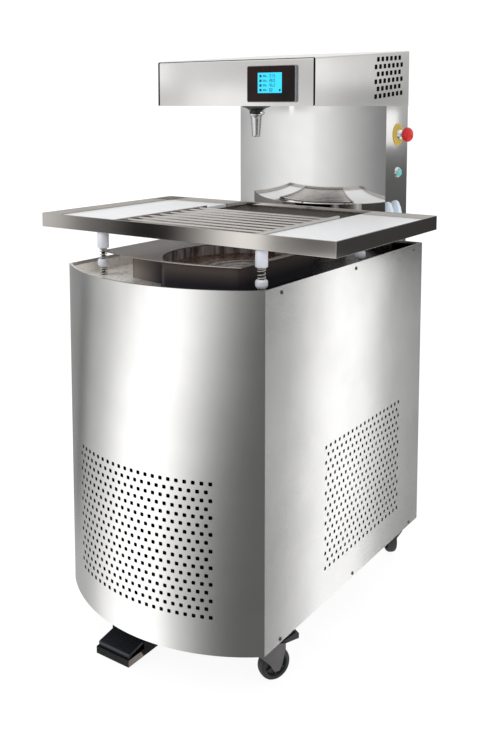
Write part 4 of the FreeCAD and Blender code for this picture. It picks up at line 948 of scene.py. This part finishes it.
def outlet():
    """Collar, valve neck with its coil, and tapered nozzle."""
    low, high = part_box("spout_collar")
    x, y = (low.x + high.x) / 2, (low.y + high.y) / 2
    pieces = []

    def turned(name, profile, slot, finish, *replaced):
        piece = lathe(name, profile, (x, y, 0), steps=64)
        pieces.append(keep(piece, "cabinet", slot, finish, *replaced))

    neck, edge = 0.020, 0.002
    flare = [(0.0, high.z), (high.x, high.z), (high.x, high.z - edge)]
    flare += [(neck + (high.x - neck) * (1 - t) ** 1.7,
               high.z - edge - (high.z - low.z - edge) * t)
              for t in (0.15, 0.3, 0.45, 0.6, 0.75, 0.9, 1.0)]
    flare += [(0.0, low.z)]
    turned("collar", flare, "black_enamel", "black_enamel", "spout_collar")

    low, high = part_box("valve_body")
    wide, nut, nut_bore, easing = high.y - y, 0.0040, 0.012, 0.0012
    body = [(0.0, high.z), (wide - easing, high.z), (wide, high.z - easing),
            (wide, low.z + 0.0052), (wide - easing, low.z + nut), (0.0, low.z + nut)]
    turned("valve", body, "black_enamel", "black_enamel", "valve_body")
    ring = [(nut_bore, low.z + nut), (wide - 0.0008, low.z + nut), (wide, low.z + 0.0032),
            (wide, low.z + 0.0008), (wide - 0.0008, low.z), (nut_bore, low.z)]
    turned("valve_nut", ring, "black_enamel", "chrome")
    reach = high.x
    coil = [(0.0, wide - 0.004), (0.005, wide - 0.004), (0.005, reach - 0.0016),
            (0.0042, reach - 0.0006), (0.0030, reach), (0, reach)]
    pieces.append(keep(lathe("valve_coil", coil, (0, y, (low.z + high.z) / 2), (1, 0, 0), 32),
                       "cabinet", "black_enamel", "chrome"))

    low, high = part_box("nozzle")
    wide, top, flange = high.x, high.z, 0.003
    taper, tip, bore, easing = 0.0145, 0.0105, 0.008, 0.0005
    profile = [(bore, top), (wide - easing, top), (wide, top - easing),
               (wide, top - flange + easing), (wide - easing, top - flange),
               (taper + 0.0003, top - flange - 0.0004)]
    length = top - flange - low.z - 0.002
    profile += [(taper - (taper - tip) * (n / 8) ** 0.9, top - flange - 0.001 - length * n / 8)
                for n in range(9)]
    profile += [(tip - 0.0004, low.z + 0.0003), (tip - 0.0010, low.z), (bore + 0.0006, low.z),
                (bore, low.z + 0.0006), (bore, top)]
    turned("nozzle_tip", profile, "chrome", "nozzle_steel", "nozzle")
    for piece in pieces:
        piece.visible_glossy = False


# ---------------------------------------------------------------------------------------
# Buttons and connectors
# ---------------------------------------------------------------------------------------
def buttons():
    """Emergency stop, start button and hooded sockets on the column's right side."""
    def add(name, profile, body, slot, finish, *replaced, steps=48, angle=35):
        piece = lathe(name, profile, (face, y, z), (1, 0, 0), steps, angle)
        piece.visible_glossy = False
        keep(piece, body, slot, finish, *replaced)

    low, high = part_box("stop_ring")
    face, y, z = low.x, (low.y + high.y) / 2, (low.z + high.z) / 2
    disc, bore, plate_top, neck_top = high.y - y, 0.0084, 0.0046, 0.0120
    plate = [(bore, 0), (disc, 0), (disc, 0.003), (disc - 0.0009, 0.004), (0.0165, 0.004),
             (0.0160, plate_top), (bore, plate_top), (bore, 0)]
    add("stop_plate", plate, "cabinet", "stop_yellow", "stop_yellow", "stop_ring", steps=64)
    neck = [(bore, plate_top), (0.0130, plate_top), (0.0130, 0.0100), (0.0123, 0.0110),
            (0.0117, neck_top), (bore, neck_top), (bore, plate_top)]
    add("stop_neck", neck, "cabinet", "chrome", "chrome")

    low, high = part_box("stop_mushroom")
    start, reach = low.x - face, high.x - face
    stem_radius, cap_base, cap_edge = 0.008, 0.0185, 0.0192
    stem = [(0, start), (stem_radius, start), (stem_radius, cap_base), (0, cap_base)]
    add("stop_stem", stem, "stop_button", "stop_red", "chrome")
    # The cap flares up to its widest, 0.36 of its depth from the base, and then rounds over
    rise = (reach - cap_base) * 0.36
    dome = [(0, cap_base), (0.0125, cap_base), (0.0140, cap_edge)]
    dome += [(0.0140 + 0.0060 * math.sin(t * math.pi / 2), cap_edge + rise * t)
             for t in (0.25, 0.5, 0.75, 1.0)]
    dome += [(0.0200 * math.cos(t * math.pi / 2) ** 0.55,
              cap_edge + rise + (reach - cap_edge - rise) * math.sin(t * math.pi / 2))
             for t in (0.12, 0.26, 0.4, 0.54, 0.68, 0.82, 0.92)]
    dome += [(0, reach)]
    add("stop_cap", dome, "stop_button", "stop_red", "stop_red", "stop_mushroom", steps=64,
        angle=50)

    low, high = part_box("start_ring")
    y, z = (low.y + high.y) / 2, (low.z + high.z) / 2
    ring = [(0.0103, 0), (0.014, 0), (0.014, 0.0045), (0.0136, 0.0056), (0.0126, 0.0067),
            (0.0118, 0.0070), (0.0108, 0.0066), (0.0103, 0.0056), (0.0103, 0)]
    add("start_rim", ring, "cabinet", "chrome", "chrome", "start_ring")
    low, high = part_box("start_cap")
    start, reach = low.x - face, high.x - face
    radius, crown = 0.0100, 0.0024
    cap = [(0, start), (0.0098, start), (radius, start + 0.0004), (radius, reach - crown)]
    cap += [(radius - 0.0016 * (1 - math.cos(t)), reach - crown + crown * math.sin(t))
            for t in (0.4, 0.8, 1.2, 1.5708)]
    cap += [(0.005, reach - 0.0002), (0, reach - 0.0006)]
    add("start_lens", cap, "start_button", "start_teal", "start_teal", "start_cap")

    low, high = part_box("connector_sockets")
    wall, reach, half = low.x - 0.001, high.x - low.x, 0.014
    tall = high.z - low.z
    hoods = []
    # Shares of the whole height, reach and width, from the foot up
    rings = [(0, 0.78, 0.93), (0.07, 1, 1), (0.34, 0.97, 1), (0.72, 0.74, 0.70),
             (0.93, 0.46, 0.57), (1, 0.20, 0.50)]
    for middle in (low.y + half, high.y - half):
        points, faces = [], []
        for up, out, across in rings:
            z, x, side = low.z + tall * up, low.x + reach * out, half * across
            points += [Vector(p) for p in ((wall, middle - side, z), (x, middle - side * 0.86, z),
                                           (x, middle + side * 0.86, z), (wall, middle + side, z))]
        for ring in range(len(rings) - 1):
            a, b = 4 * ring, 4 * ring + 4
            faces += [(a + i, a + (i + 1) % 4, b + (i + 1) % 4, b + i) for i in range(4)]
        faces += [(3, 2, 1, 0), tuple(range(len(points) - 4, len(points)))]
        hoods.append((points, faces))
    thing = bevelled(merged("socket_hoods", hoods, 25), 0.0016, 3, 25)
    keep(thing, "cabinet", "connector_plastic", "connector_plastic", "connector_sockets")


# ---------------------------------------------------------------------------------------
# Vibrating table
# ---------------------------------------------------------------------------------------
def table():
    """Welded tray with its ledge and post pads."""
    low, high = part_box("table_frame")
    ledge, ledge_sheet, wall, rail_x, rail_wide = 0.993, 0.002, 0.003, 0.213, 0.018
    ledge_wide, rear_depth, pad = 0.020, 0.108, 0.036
    in_x, front, back = high.x - wall, low.y + wall, high.y - wall
    outer = [(low.x, low.y), (high.x, low.y), (high.x, high.y), (low.x, high.y)]
    inner = [(-in_x, front), (in_x, front), (in_x, back), (-in_x, back)]
    points = [Vector((x, y, z)) for z in (low.z, high.z) for x, y in outer + inner]
    faces = []
    for i in range(4):
        j = (i + 1) % 4
        faces += [(i, j, j + 8, i + 8), (j + 4, i + 4, i + 12, j + 12),
                  (i + 8, j + 8, j + 12, i + 12), (j, i, i + 4, j + 4)]
    rim = bevelled(merged("tray_rim", [(points, faces)]), 0.0008, 2)
    keep(rim, "table", "brushed_steel", "table_steel", "table_frame")

    z = (ledge - ledge_sheet, ledge)
    flats = [((-in_x, front, z[0]), (-in_x + ledge_wide, back, z[1])),
             ((in_x - ledge_wide, front, z[0]), (in_x, back, z[1])),
             ((-in_x + ledge_wide, front, z[0]), (in_x - ledge_wide, front + ledge_wide, z[1])),
             ((-in_x + ledge_wide, back - ledge_wide, z[0]), (-rail_x, back, z[1])),
             ((rail_x, back - ledge_wide, z[0]), (in_x - ledge_wide, back, z[1])),
             ((-rail_x, high.y - rear_depth, z[0]), (rail_x, back, z[1]))]
    for x in (-rail_x, rail_x):
        flats.append(((x - rail_wide / 2, front + ledge_wide, z[0]),
                      (x + rail_wide / 2, back - ledge_wide, z[1])))
    parts = [box_mesh(*flat) for flat in flats]
    for x, y in post_places():
        parts.append(box_mesh((x - pad / 2, y - pad / 2, low.z),
                              (x + pad / 2, y + pad / 2, z[0])))
    ledges = bevelled(merged("tray_ledges", parts), 0.0004, 1)
    keep(ledges, "table", "brushed_steel", "ledge_steel")


def post_places():
    """The four posts, from the studs' own box."""
    low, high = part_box("post_studs")
    radius = 0.005
    return [(x, y) for x in (low.x + radius, high.x - radius)
            for y in (low.y + radius, high.y - radius)]


def boards():
    """White plastic boards with eased edges."""
    for side in ("left", "right"):
        node = side + "_board"
        low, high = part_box(node)
        thing = bevelled(merged(side + "_slab", [box_mesh(low, high)]), 0.0014, 3)
        keep(thing, node, "white_board", "white_board", node)


def grille():
    """Round rods between two bars."""
    low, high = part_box("rod_grille")
    bar, rods, first, pitch, radius, rise = 0.008, 9, 0.037, 0.0413, 0.004, 0.010
    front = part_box("table_frame")[0].y
    z = low.z + rise
    parts = []
    for number in range(rods):
        y = front + first + pitch * number
        inside = high.x - bar
        profile = [(0, 0), (radius, 0), (radius, 2 * inside), (0, 2 * inside)]
        parts.append(lathe_mesh(profile, (-inside, y, z), (1, 0, 0), 24))
    keep(merged("rods", parts), "grille", "polished_steel", "grille_steel", "rod_grille")
    sides = [box_mesh((low.x, low.y, low.z), (low.x + bar, high.y, high.z)),
             box_mesh((high.x - bar, low.y, low.z), (high.x, high.y, high.z))]
    bars = bevelled(merged("grille_bars", sides), 0.001, 2)
    keep(bars, "grille", "polished_steel", "grille_steel")


WIRE = 0.0012


def posts():
    """Threaded studs, round-wire springs and plastic bushes."""
    base, top = (end.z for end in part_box("post_studs"))
    lower_low, lower_high = (end.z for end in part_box("lower_bushes"))
    upper_low, upper_high = (end.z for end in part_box("upper_bushes"))
    studs, lower_coils, upper_coils, lower, upper = [], [], [], [], []
    thread, stud, bore, lower_turns, upper_turns = 0.0015, 0.005, 0.0053, 3.4, 4.2
    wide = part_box("upper_bushes")[1].x - post_places()[-1][0]
    for x, y in post_places():
        profile = [(0, base), (stud, base)]
        count = int((top - base) / thread)
        for turn in range(count):
            z = base + turn * thread
            profile += [(stud - 0.0007, z + thread * 0.5), (stud, z + thread)]
        profile += [(stud - 0.001, top), (0, top)]
        studs.append(lathe_mesh(profile, (x, y, 0), (0, 0, 1), 16))
        lower_coils.append(wire_mesh(coil_line(x, y, base, lower_low, lower_turns), WIRE))
        upper_coils.append(
            wire_mesh(coil_line(x, y, lower_high, upper_low, upper_turns), WIRE))
        height = lower_high - lower_low
        foot = wide * 0.62
        barrel = [(bore, 0), (foot, 0)]
        barrel += [(foot + (wide - foot) * math.sin(math.pi / 2 * t) ** 0.8, height * 0.42 * t)
                   for t in (0.1, 0.2, 0.35, 0.5, 0.7, 0.9)]
        barrel += [(wide, height * 0.46), (wide, height * 0.74), (wide - 0.0005, height * 0.85),
                   (wide - 0.0018, height * 0.95), (wide - 0.0036, height), (bore, height),
                   (bore, 0)]
        lower.append(lathe_mesh(barrel, (x, y, lower_low), (0, 0, 1), 40))
        height = upper_high - upper_low
        sleeve = [(bore, 0), (wide - 0.0022, 0), (wide - 0.0008, 0.0006), (wide, 0.0020),
                  (wide, height - 0.0012), (wide - 0.0008, height - 0.0002),
                  (wide - 0.002, height), (bore, height), (bore, 0)]
        upper.append(lathe_mesh(sleeve, (x, y, upper_low), (0, 0, 1), 40))
    keep(merged("studs", studs, 20), "cabinet", "spring_steel", "spring_steel", "post_studs")
    keep(merged("lower_barrels", lower), "middle_bushes", "bush_plastic", "bush_plastic",
         "lower_bushes")
    keep(merged("upper_sleeves", upper), "table", "bush_plastic", "bush_plastic",
         "upper_bushes")
    # The middle bushes travel half as far as the table.
    for name, coils, far, start, end in (
            ("lower_springs", lower_coils, "middle_bushes", base, lower_low),
            ("upper_springs", upper_coils, "table", 2 * lower_high - upper_low, upper_low)):
        springs = merged(name, coils, 60)
        springs.data.materials.append(FINISHES["spring_wire"])
        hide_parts("post_springs")
        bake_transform(springs)


def coil_line(x, y, low, high, turns):
    """Centre line of a spring with its end turns closed up."""
    radius, wire, steps = 0.0086, WIRE, 20
    line = []
    count = int(turns * steps)
    for step in range(count + 1):
        part = step / count
        ease = part - 0.55 * math.sin(2 * math.pi * part) / (2 * math.pi)
        turn = 2 * math.pi * turns * part
        line.append(Vector((x + radius * math.cos(turn), y + radius * math.sin(turn),
                            low + wire + 0.0002 + (high - low - 2 * wire - 0.0004) * ease)))
    return line


# ---------------------------------------------------------------------------------------
# Pedal
# ---------------------------------------------------------------------------------------
def pedal():
    """Ribbed tread on the treadle, and a worn edge on the tray."""
    low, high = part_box("pedal_treadle")
    tip_y, heel_y, tip_z, heel_z = low.y, high.y, 0.032, 0.044
    half, thick, hub_y, hub_z, heel_foot = 0.0477, 0.007, -0.362, 0.038, 0.033
    x = (low.x + high.x) / 2
    plate = [(tip_y, tip_z), (heel_y, heel_z), (heel_y, heel_foot), (-0.368, heel_foot),
             (tip_y + thick, tip_z - thick), (tip_y + thick, low.z), (tip_y, low.z)]
    body = bevelled(merged("treadle_pad", [prism_mesh(plate, x - half, x + half, "x")]),
                    0.0016, 3)
    keep(body, "treadle", "black_plastic", "treadle_black", "pedal_treadle")
    slope = math.atan2(heel_z - tip_z, heel_y - tip_y)
    turn = Matrix.Rotation(slope, 3, "X")
    ribs, first, pitch, margin, wide = [], 0.006, 0.0065, 0.005, 0.0013
    for number in range(9):
        along = first + number * pitch
        middle = Vector((x, tip_y + along * math.cos(slope), tip_z + along * math.sin(slope)))
        points, faces = box_mesh((-half + margin, -wide, -0.0006), (half - margin, wide, 0.0009))
        ribs.append(([middle + turn @ point for point in points], faces))
    keep(bevelled(merged("treadle_ribs", ribs), 0.0004, 1), "treadle", "black_plastic",
         "treadle_black")
    pin = [(0, 0), (0.003, 0), (0.003, high.x - low.x), (0, high.x - low.x)]
    keep(lathe("treadle_pin", pin, (low.x, hub_y, hub_z), (1, 0, 0), 20), "treadle",
         "black_plastic", "chrome")
    low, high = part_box("pedal_tray")
    bare, length, skin = 0.017, 0.053, 0.0003
    outline = [(low.y + 0.0004, low.z + 0.0006), (low.y + length, low.z + 0.0006),
               (low.y + length * 0.8, low.z + bare - 0.0006),
               (low.y + 0.0004, low.z + bare - 0.0006)]
    patch = merged("tray_worn_edge", [prism_mesh(outline, high.x, high.x + skin, "x")])
    keep(bevelled(patch, 0.0001, 1), "cabinet", "black_enamel", "worn_steel")


# ---------------------------------------------------------------------------------------
# Casters
# ---------------------------------------------------------------------------------------
TURN = {"front_right": 62, "front_left": 160, "rear_right": 135, "rear_left": 130}


def mirrored(profile):
    """A closed profile from the half of it below its middle."""
    return profile + [(radius, -height) for radius, height in profile[::-1]] + profile[:1]


def caster_wheel(corner):
    """Tyre with a rounded tread and a dished, ribbed hub."""
    low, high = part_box("caster_wheel_" + corner)
    centre = (low + high) / 2
    turn = math.radians(TURN[corner])
    axis = Vector((-math.sin(turn), math.cos(turn), 0))
    radius, half, rim = 0.0375, 0.0125, 0.027
    tyre = mirrored([(rim, -half + 0.0012), (rim + 0.001, -half), (radius - 0.0065, -half),
                     (radius - 0.0030, -half + 0.0015), (radius - 0.0008, -half + 0.0045),
                     (radius, -half + 0.009)])
    body = "wheel_" + corner
    keep(lathe("tyre_" + corner, tyre, centre, axis, 64, 40), body, "tyre_rubber",
         "tyre_rubber", "caster_wheel_" + corner)
    bore, boss, web = 0.0043, 0.0105, 0.0045
    hub = mirrored([(bore, -half), (boss, -half), (boss + 0.0006, -half + 0.001),
                    (boss + 0.001, -web), (rim - 0.003, -web), (rim - 0.001, -half + 0.002),
                    (rim, -half + 0.002)])
    parts = [lathe_mesh(hub, centre, axis, 48)]
    first, second = frame_axes(axis)
    spokes, thick, end, deep = 6, 0.0013, rim - 0.002, half - 0.0035
    for number in range(spokes):
        spoke = math.pi * number / (spokes / 2)
        out = first * math.cos(spoke) + second * math.sin(spoke)
        side = axis.cross(out)
        points = [centre + out * along + side * thick * across + axis * depth * deep
                  for depth in (-1, 1)
                  for along, across in ((boss, -1), (end, -1), (end, 1), (boss, 1))]
        parts.append((points, BOX_FACES))
    keep(merged("hub_" + corner, parts), body, "black_plastic", "black_plastic")


# ---------------------------------------------------------------------------------------
# Nodes that keep their CAD shape
# ---------------------------------------------------------------------------------------
CARRIED = {
    "floor_pan": "shade_dark_inner_sheet", "frame_uprights": "black_enamel", "well_plate": "well_painted_shade",
    "agitator": "polished_steel", "agitator_gearmotor": "motor_grey",
    "pump_tube": "polished_steel", "pump_screw": "polished_steel",
    "pump_gearmotor": "motor_grey", "chocolate_pipes": "polished_steel",
    "compressor": "black_enamel", "condenser": "finned_aluminium", "fan_shroud": "shade_dark_inner_sheet",
    "condenser_fan": "black_plastic", "drive_shelf": "shade_dark_inner_sheet", "control_box": "grey_plastic",
    "cable_gland": "black_plastic", "head_floor": "head_steel", "shaker_motor": "cast_aluminium",
    "shaker_rotor": "spring_steel", "pedal_tray": "tray_black", "foot_switch": "black_plastic",
    "caster_plates": "zinc_sheet", "brake_lever_front_right": "black_plastic",
    "brake_lever_front_left": "black_plastic",
}
CARRIED.update({"caster_fork_" + corner: "fork_steel" for corner in TURN})


def carried():
    """Finish every node that is shown with its own mesh."""
    for name, finish in CARRIED.items():
        node = nodes[name]
        for place in node.material_slots:
            place.material = FINISHES[finish]


# ---------------------------------------------------------------------------------------
# Stage, light and camera
# ---------------------------------------------------------------------------------------
def stage():
    """A pale floor that reaches far behind the machine."""
    radius, steps = 14.0, 96
    points = [Vector((0, 0, 0))]
    points += [Vector((radius * math.cos(2 * math.pi * n / steps),
                       radius * math.sin(2 * math.pi * n / steps), 0)) for n in range(steps)]
    faces = [(0, 1 + n, 1 + (n + 1) % steps) for n in range(steps)]
    floor = solid("floor", points, faces)
    finish = Finish("floor_paint", (0.12, 0.12, 0.12), 0.6, Emission_Strength=0.92)
    finish.shader["Emission Color"].default_value = (1, 1, 1, 1)
    finish.colours(finish.noise(3.0, 2.0), (0.11, 0.11, 0.11), (0.13, 0.13, 0.13))
    floor.data.materials.append(FINISHES["floor_paint"])
    floor.visible_glossy = False
    floor.visible_shadow = False


# Brightness that polished steel sees round the studio, in layers from the floor upwards.
# Each has the heights (sine of elevation) between which it takes over from the one below,
# its sideways drift with height, and its angles from the front, positive to the machine's
# right, with their strength.
LOW_LEFT = [(-122, 0.42), (-102, 0.44), (-90, 0.49), (-77, 0.57), (-64, 0.69), (-52, 0.81)]
LOW_RIGHT = [(58, 0.15), (76, 0.52), (90, 0.95)]
HIGH_RIGHT = [(39, 0.25), (60, 0.20), (76, 0.52), (90, 0.90)]
STUDIO = [
    (None, 0, [(-180, 0.70), (-150, 0.60), (-125, 0.47), (-108, 0.48), (-96, 0.51),
               (-84, 0.62), (-72, 0.98), (-60, 1.24), (-48, 1.42), (-36, 1.42), (-24, 1.22),
               (-12, 0.72), (0, 0.44), (12, 0.22), (24, 0.135), (36, 0.12), *LOW_RIGHT,
               (104, 0.58), (122, 0.28), (130, 0.25), (156, 0.25), (168, 0.50), (180, 0.70)]),
    ((-0.47, -0.38), -87, [(-180, 0.70), (-150, 0.50), (-125, 0.30), (-113, 0.29),
                           (-105, 0.19), (-97, 0.27), (-88, 0.45), (-77, 0.57), (-65, 0.84),
                           (-53, 1.17), (-41, 1.44), (-29, 1.46), (-17, 1.38), (-10, 1.13),
                           (-4, 0.95), (2, 0.70), (8, 0.54), (14, 0.37), (20, 0.27),
                           (27, 0.17), (34, 0.13), (45, 0.11), *LOW_RIGHT, (104, 0.58),
                           (122, 0.30), (130, 0.29), (138, 0.29), (146, 0.35), (156, 0.31),
                           (168, 0.50), (180, 0.70)]),
    ((-0.180, -0.162), 0, [(-120, 0.36), (-108, 0.33), (-96, 0.23), (-84, 0.31), (-72, 0.43),
                           (-60, 0.65), (-54, 0.78), (-49, 0.95), (-47.2, 0.86),
                           (-46.1, 0.58), (-45, 0.27), (-43.9, 0.18), (-42.8, 0.10),
                           (-41.5, 0.02), (-40.3, 0.02), (-38.9, 0.16), (-37.6, 0.47),
                           (-36.2, 1.0), (-34.7, 1.42), (-33.2, 0.62), (-31.6, 0.31),
                           (-29.9, 0.20), (-27.5, 0.6), (-24, 1.30), (-12, 1.35), (0, 1.15),
                           (12, 0.73), (24, 0.40), (36, 0.19), *LOW_RIGHT, (104, 0.55),
                           (122, 0.20), (138, 0.08), (170, 0.08)]),
    ((-0.118, -0.102), 0, [(-180, 0.60), *LOW_LEFT, (-39, 0.92), (-26, 0.98), (-13, 0.84),
                           (0, 0.69), (13, 0.52), (26, 0.37), *HIGH_RIGHT, (104, 0.52),
                           (125, 0.15), (140, 0.11), (165, 0.11), (180, 0.60)]),
    ((-0.075, -0.010), 0, [*LOW_LEFT, (-39, 0.94), (-26, 0.99), (-13, 0.84), (0, 0.69),
                           (13, 0.52), (26, 0.37), *HIGH_RIGHT, (104, 0.60), (122, 0.45),
                           (140, 0.60), (149.8, 0.62), (153.2, 0.49), (165, 0.45)]),
    ((-0.012, -0.002), 0, [(-120, 0.42), (-77, 0.57), (-52, 0.62), (-43, 0.56), (-39.2, 0.58),
                           (-38.2, 0.84), (-37, 1.12), (-35.2, 1.12), (-33.4, 0.72),
                           (-30, 0.66), (-13, 0.84), (0, 0.69), (13, 0.52), *HIGH_RIGHT,
                           (104, 0.60), (122, 0.50), (140, 0.75), (149.8, 0.76), (151, 0.60),
                           (152, 0.46), (153.2, 0.40), (154.4, 0.36), (156, 0.50),
                           (165, 0.50)]),
    ((0.012, 0.030), 0, [(-120, 0.42), (-52, 0.95), (-43, 1.16), (-39.6, 1.16), (-38.6, 0.62),
                         (-37.8, 0.72), (-36.5, 0.66), (-32.7, 0.60), (-13, 0.70), (0, 0.69),
                         *HIGH_RIGHT, (104, 0.62), (122, 0.60), (140, 1.10), (149.8, 1.08),
                         (150.6, 1.02), (151.5, 0.84), (152.5, 0.76), (153.5, 0.70),
                         (154.4, 0.66), (155.8, 0.44), (165, 0.44)]),
    ((0.045, 0.065), 0, [(-180, 0.95), (-150, 0.95), (-138, 0.90), (-122, 0.42), (-102, 0.44),
                         (-77, 0.57), (-52, 0.70), (-31, 0.80), (0, 0.69), *HIGH_RIGHT,
                         (104, 0.62), (122, 0.60), (140, 0.85), (156, 0.60), (180, 0.95)]),
]
DRIFT_MIDDLE = -0.386      # the height at which a layer's drift is nothing
CURVE_TOP = 1.6            # the strength that a curve's top stands for
# Strengths overhead, for matt surfaces, and as the camera sees it
OVERHEAD, AMBIENT, BACKDROP = 0.9, 0.85, 1.05


def world():
    """Soft studio: layers of light round the horizon for steel, even light for the rest."""
    studio = bpy.data.worlds.new("studio")
    bpy.context.scene.world = studio
    studio.use_nodes = True
    studio.cycles.sampling_method = "NONE"
    studio.node_tree.nodes.clear()
    tree = Nodes(studio.node_tree)
    split = tree.add("SeparateXYZ", 0, tree.add("TexCoord", "Generated")).node.outputs
    height = split["Z"]

    def worked(operation, *values):
        return tree.add("Math", 0, *values, operation=operation)

    def mixed(factor, first, second):
        return tree.add("Mix", "Result", Factor=factor, A=first, B=second)

    angle = worked("MULTIPLY", worked("ARCTAN2", split["X"], worked("MULTIPLY", split["Y"], -1.0)),
                   180 / math.pi)

    def ring_of_light(drift, stations):
        """Strength round the studio from a curve over the stations' own range."""
        turn = worked("MULTIPLY_ADD", height, float(drift), angle)
        turn = worked("ADD", turn, -DRIFT_MIDDLE * drift)
        start, end = stations[0][0], stations[-1][0]
        light = tree.add("FloatCurve", "Value", Value=tree.ranged(turn, 0.0, 1.0, start, end))
        points = light.node.mapping.curves[0].points
        points[0].location = (0, stations[0][1] / CURVE_TOP)
        points[1].location = (1, stations[-1][1] / CURVE_TOP)
        for degrees, strength in stations[1:-1]:
            points.new((degrees - start) / (end - start), strength / CURVE_TOP)
        for point in points:
            point.handle_type = "AUTO_CLAMPED"
        light.node.mapping.update()
        return worked("MULTIPLY", light, CURVE_TOP)

    band = None
    for span, drift, stations in STUDIO:
        layer = ring_of_light(drift, stations)
        if span is None:
            band = layer
        else:
            band = mixed(tree.ranged(height, 0.0, 1.0, *span, "SMOOTHSTEP"), band, layer)
    glossy = mixed(tree.ranged(height, 0.0, 1.0, 0.25, 0.85, "SMOOTHSTEP"), band, OVERHEAD)

    path = tree.add("LightPath", 0).node.outputs
    seen = mixed(path["Is Glossy Ray"], AMBIENT, glossy)
    sky = tree.add("Background", "Background", Color=(1, 1, 1, 1),
                   Strength=mixed(path["Is Camera Ray"], seen, BACKDROP))
    tree.fill(tree.nodes.new("ShaderNodeOutputWorld").inputs["Surface"], sky)


def area_light(name, place, target, size, energy, glossy, roll=0.0):
    """A soft rectangular light that the camera doesn't see, turned by roll degrees."""
    light = bpy.data.lights.new(name, "AREA")
    light.shape = "RECTANGLE"
    light.size, light.size_y = size
    light.energy = energy
    thing = bpy.data.objects.new(name, light)
    bpy.context.scene.collection.objects.link(thing)
    thing.location = place
    direction = Vector(target) - Vector(place)
    facing = direction.to_track_quat("-Z", "Y").to_matrix()
    thing.rotation_euler = (facing @ Matrix.Rotation(math.radians(roll), 3, "Z")).to_euler()
    thing.visible_camera = False
    thing.visible_glossy = glossy


def lights():
    """Soft key and fill from the front, and two strips that the right side mirrors."""
    area_light("key", (-1.9, -2.4, 2.6), (0, 0, 0.7), (1.4, 1.4), 36, False)
    area_light("fill", (2.4, -1.6, 1.8), (0, 0, 0.6), (1.2, 1.2), 14, False)
    area_light("side_strip", (0.937, 1.141, -0.355), (0.284, 0.02, -0.355), (0.25, 2.15),
               2.07, True, -1.8)
    area_light("column_strip", (0.87, 1.738, 1.1855), (0.236, 0.378, 1.1855), (0.26, 0.154),
               0.094, True)


def camera():
    """The photograph's viewpoint."""
    place, dip, turn = (1.2775, -1.85624, 1.28587), 5.785, 34.702
    data = bpy.data.cameras.new("camera")
    data.lens = 42.76
    data.shift_y = -0.24
    thing = bpy.data.objects.new("camera", data)
    bpy.context.scene.collection.objects.link(thing)
    thing.location = place
    thing.rotation_euler = (math.radians(90 - dip), 0, math.radians(turn))
    bpy.context.scene.camera = thing


front_skin()
side_panel("left")
side_panel("right")
vent_shade_mats()
panel_screws()
rear_panel()
basin()
chocolate_pool()
column()
head()
display()
outlet()
buttons()
table()
boards()
grille()
posts()
pedal()
for corner in TURN:
    caster_wheel(corner)
carried()
stage()
world()
lights()
camera()
bpy.context.scene.view_settings.view_transform = "Standard"
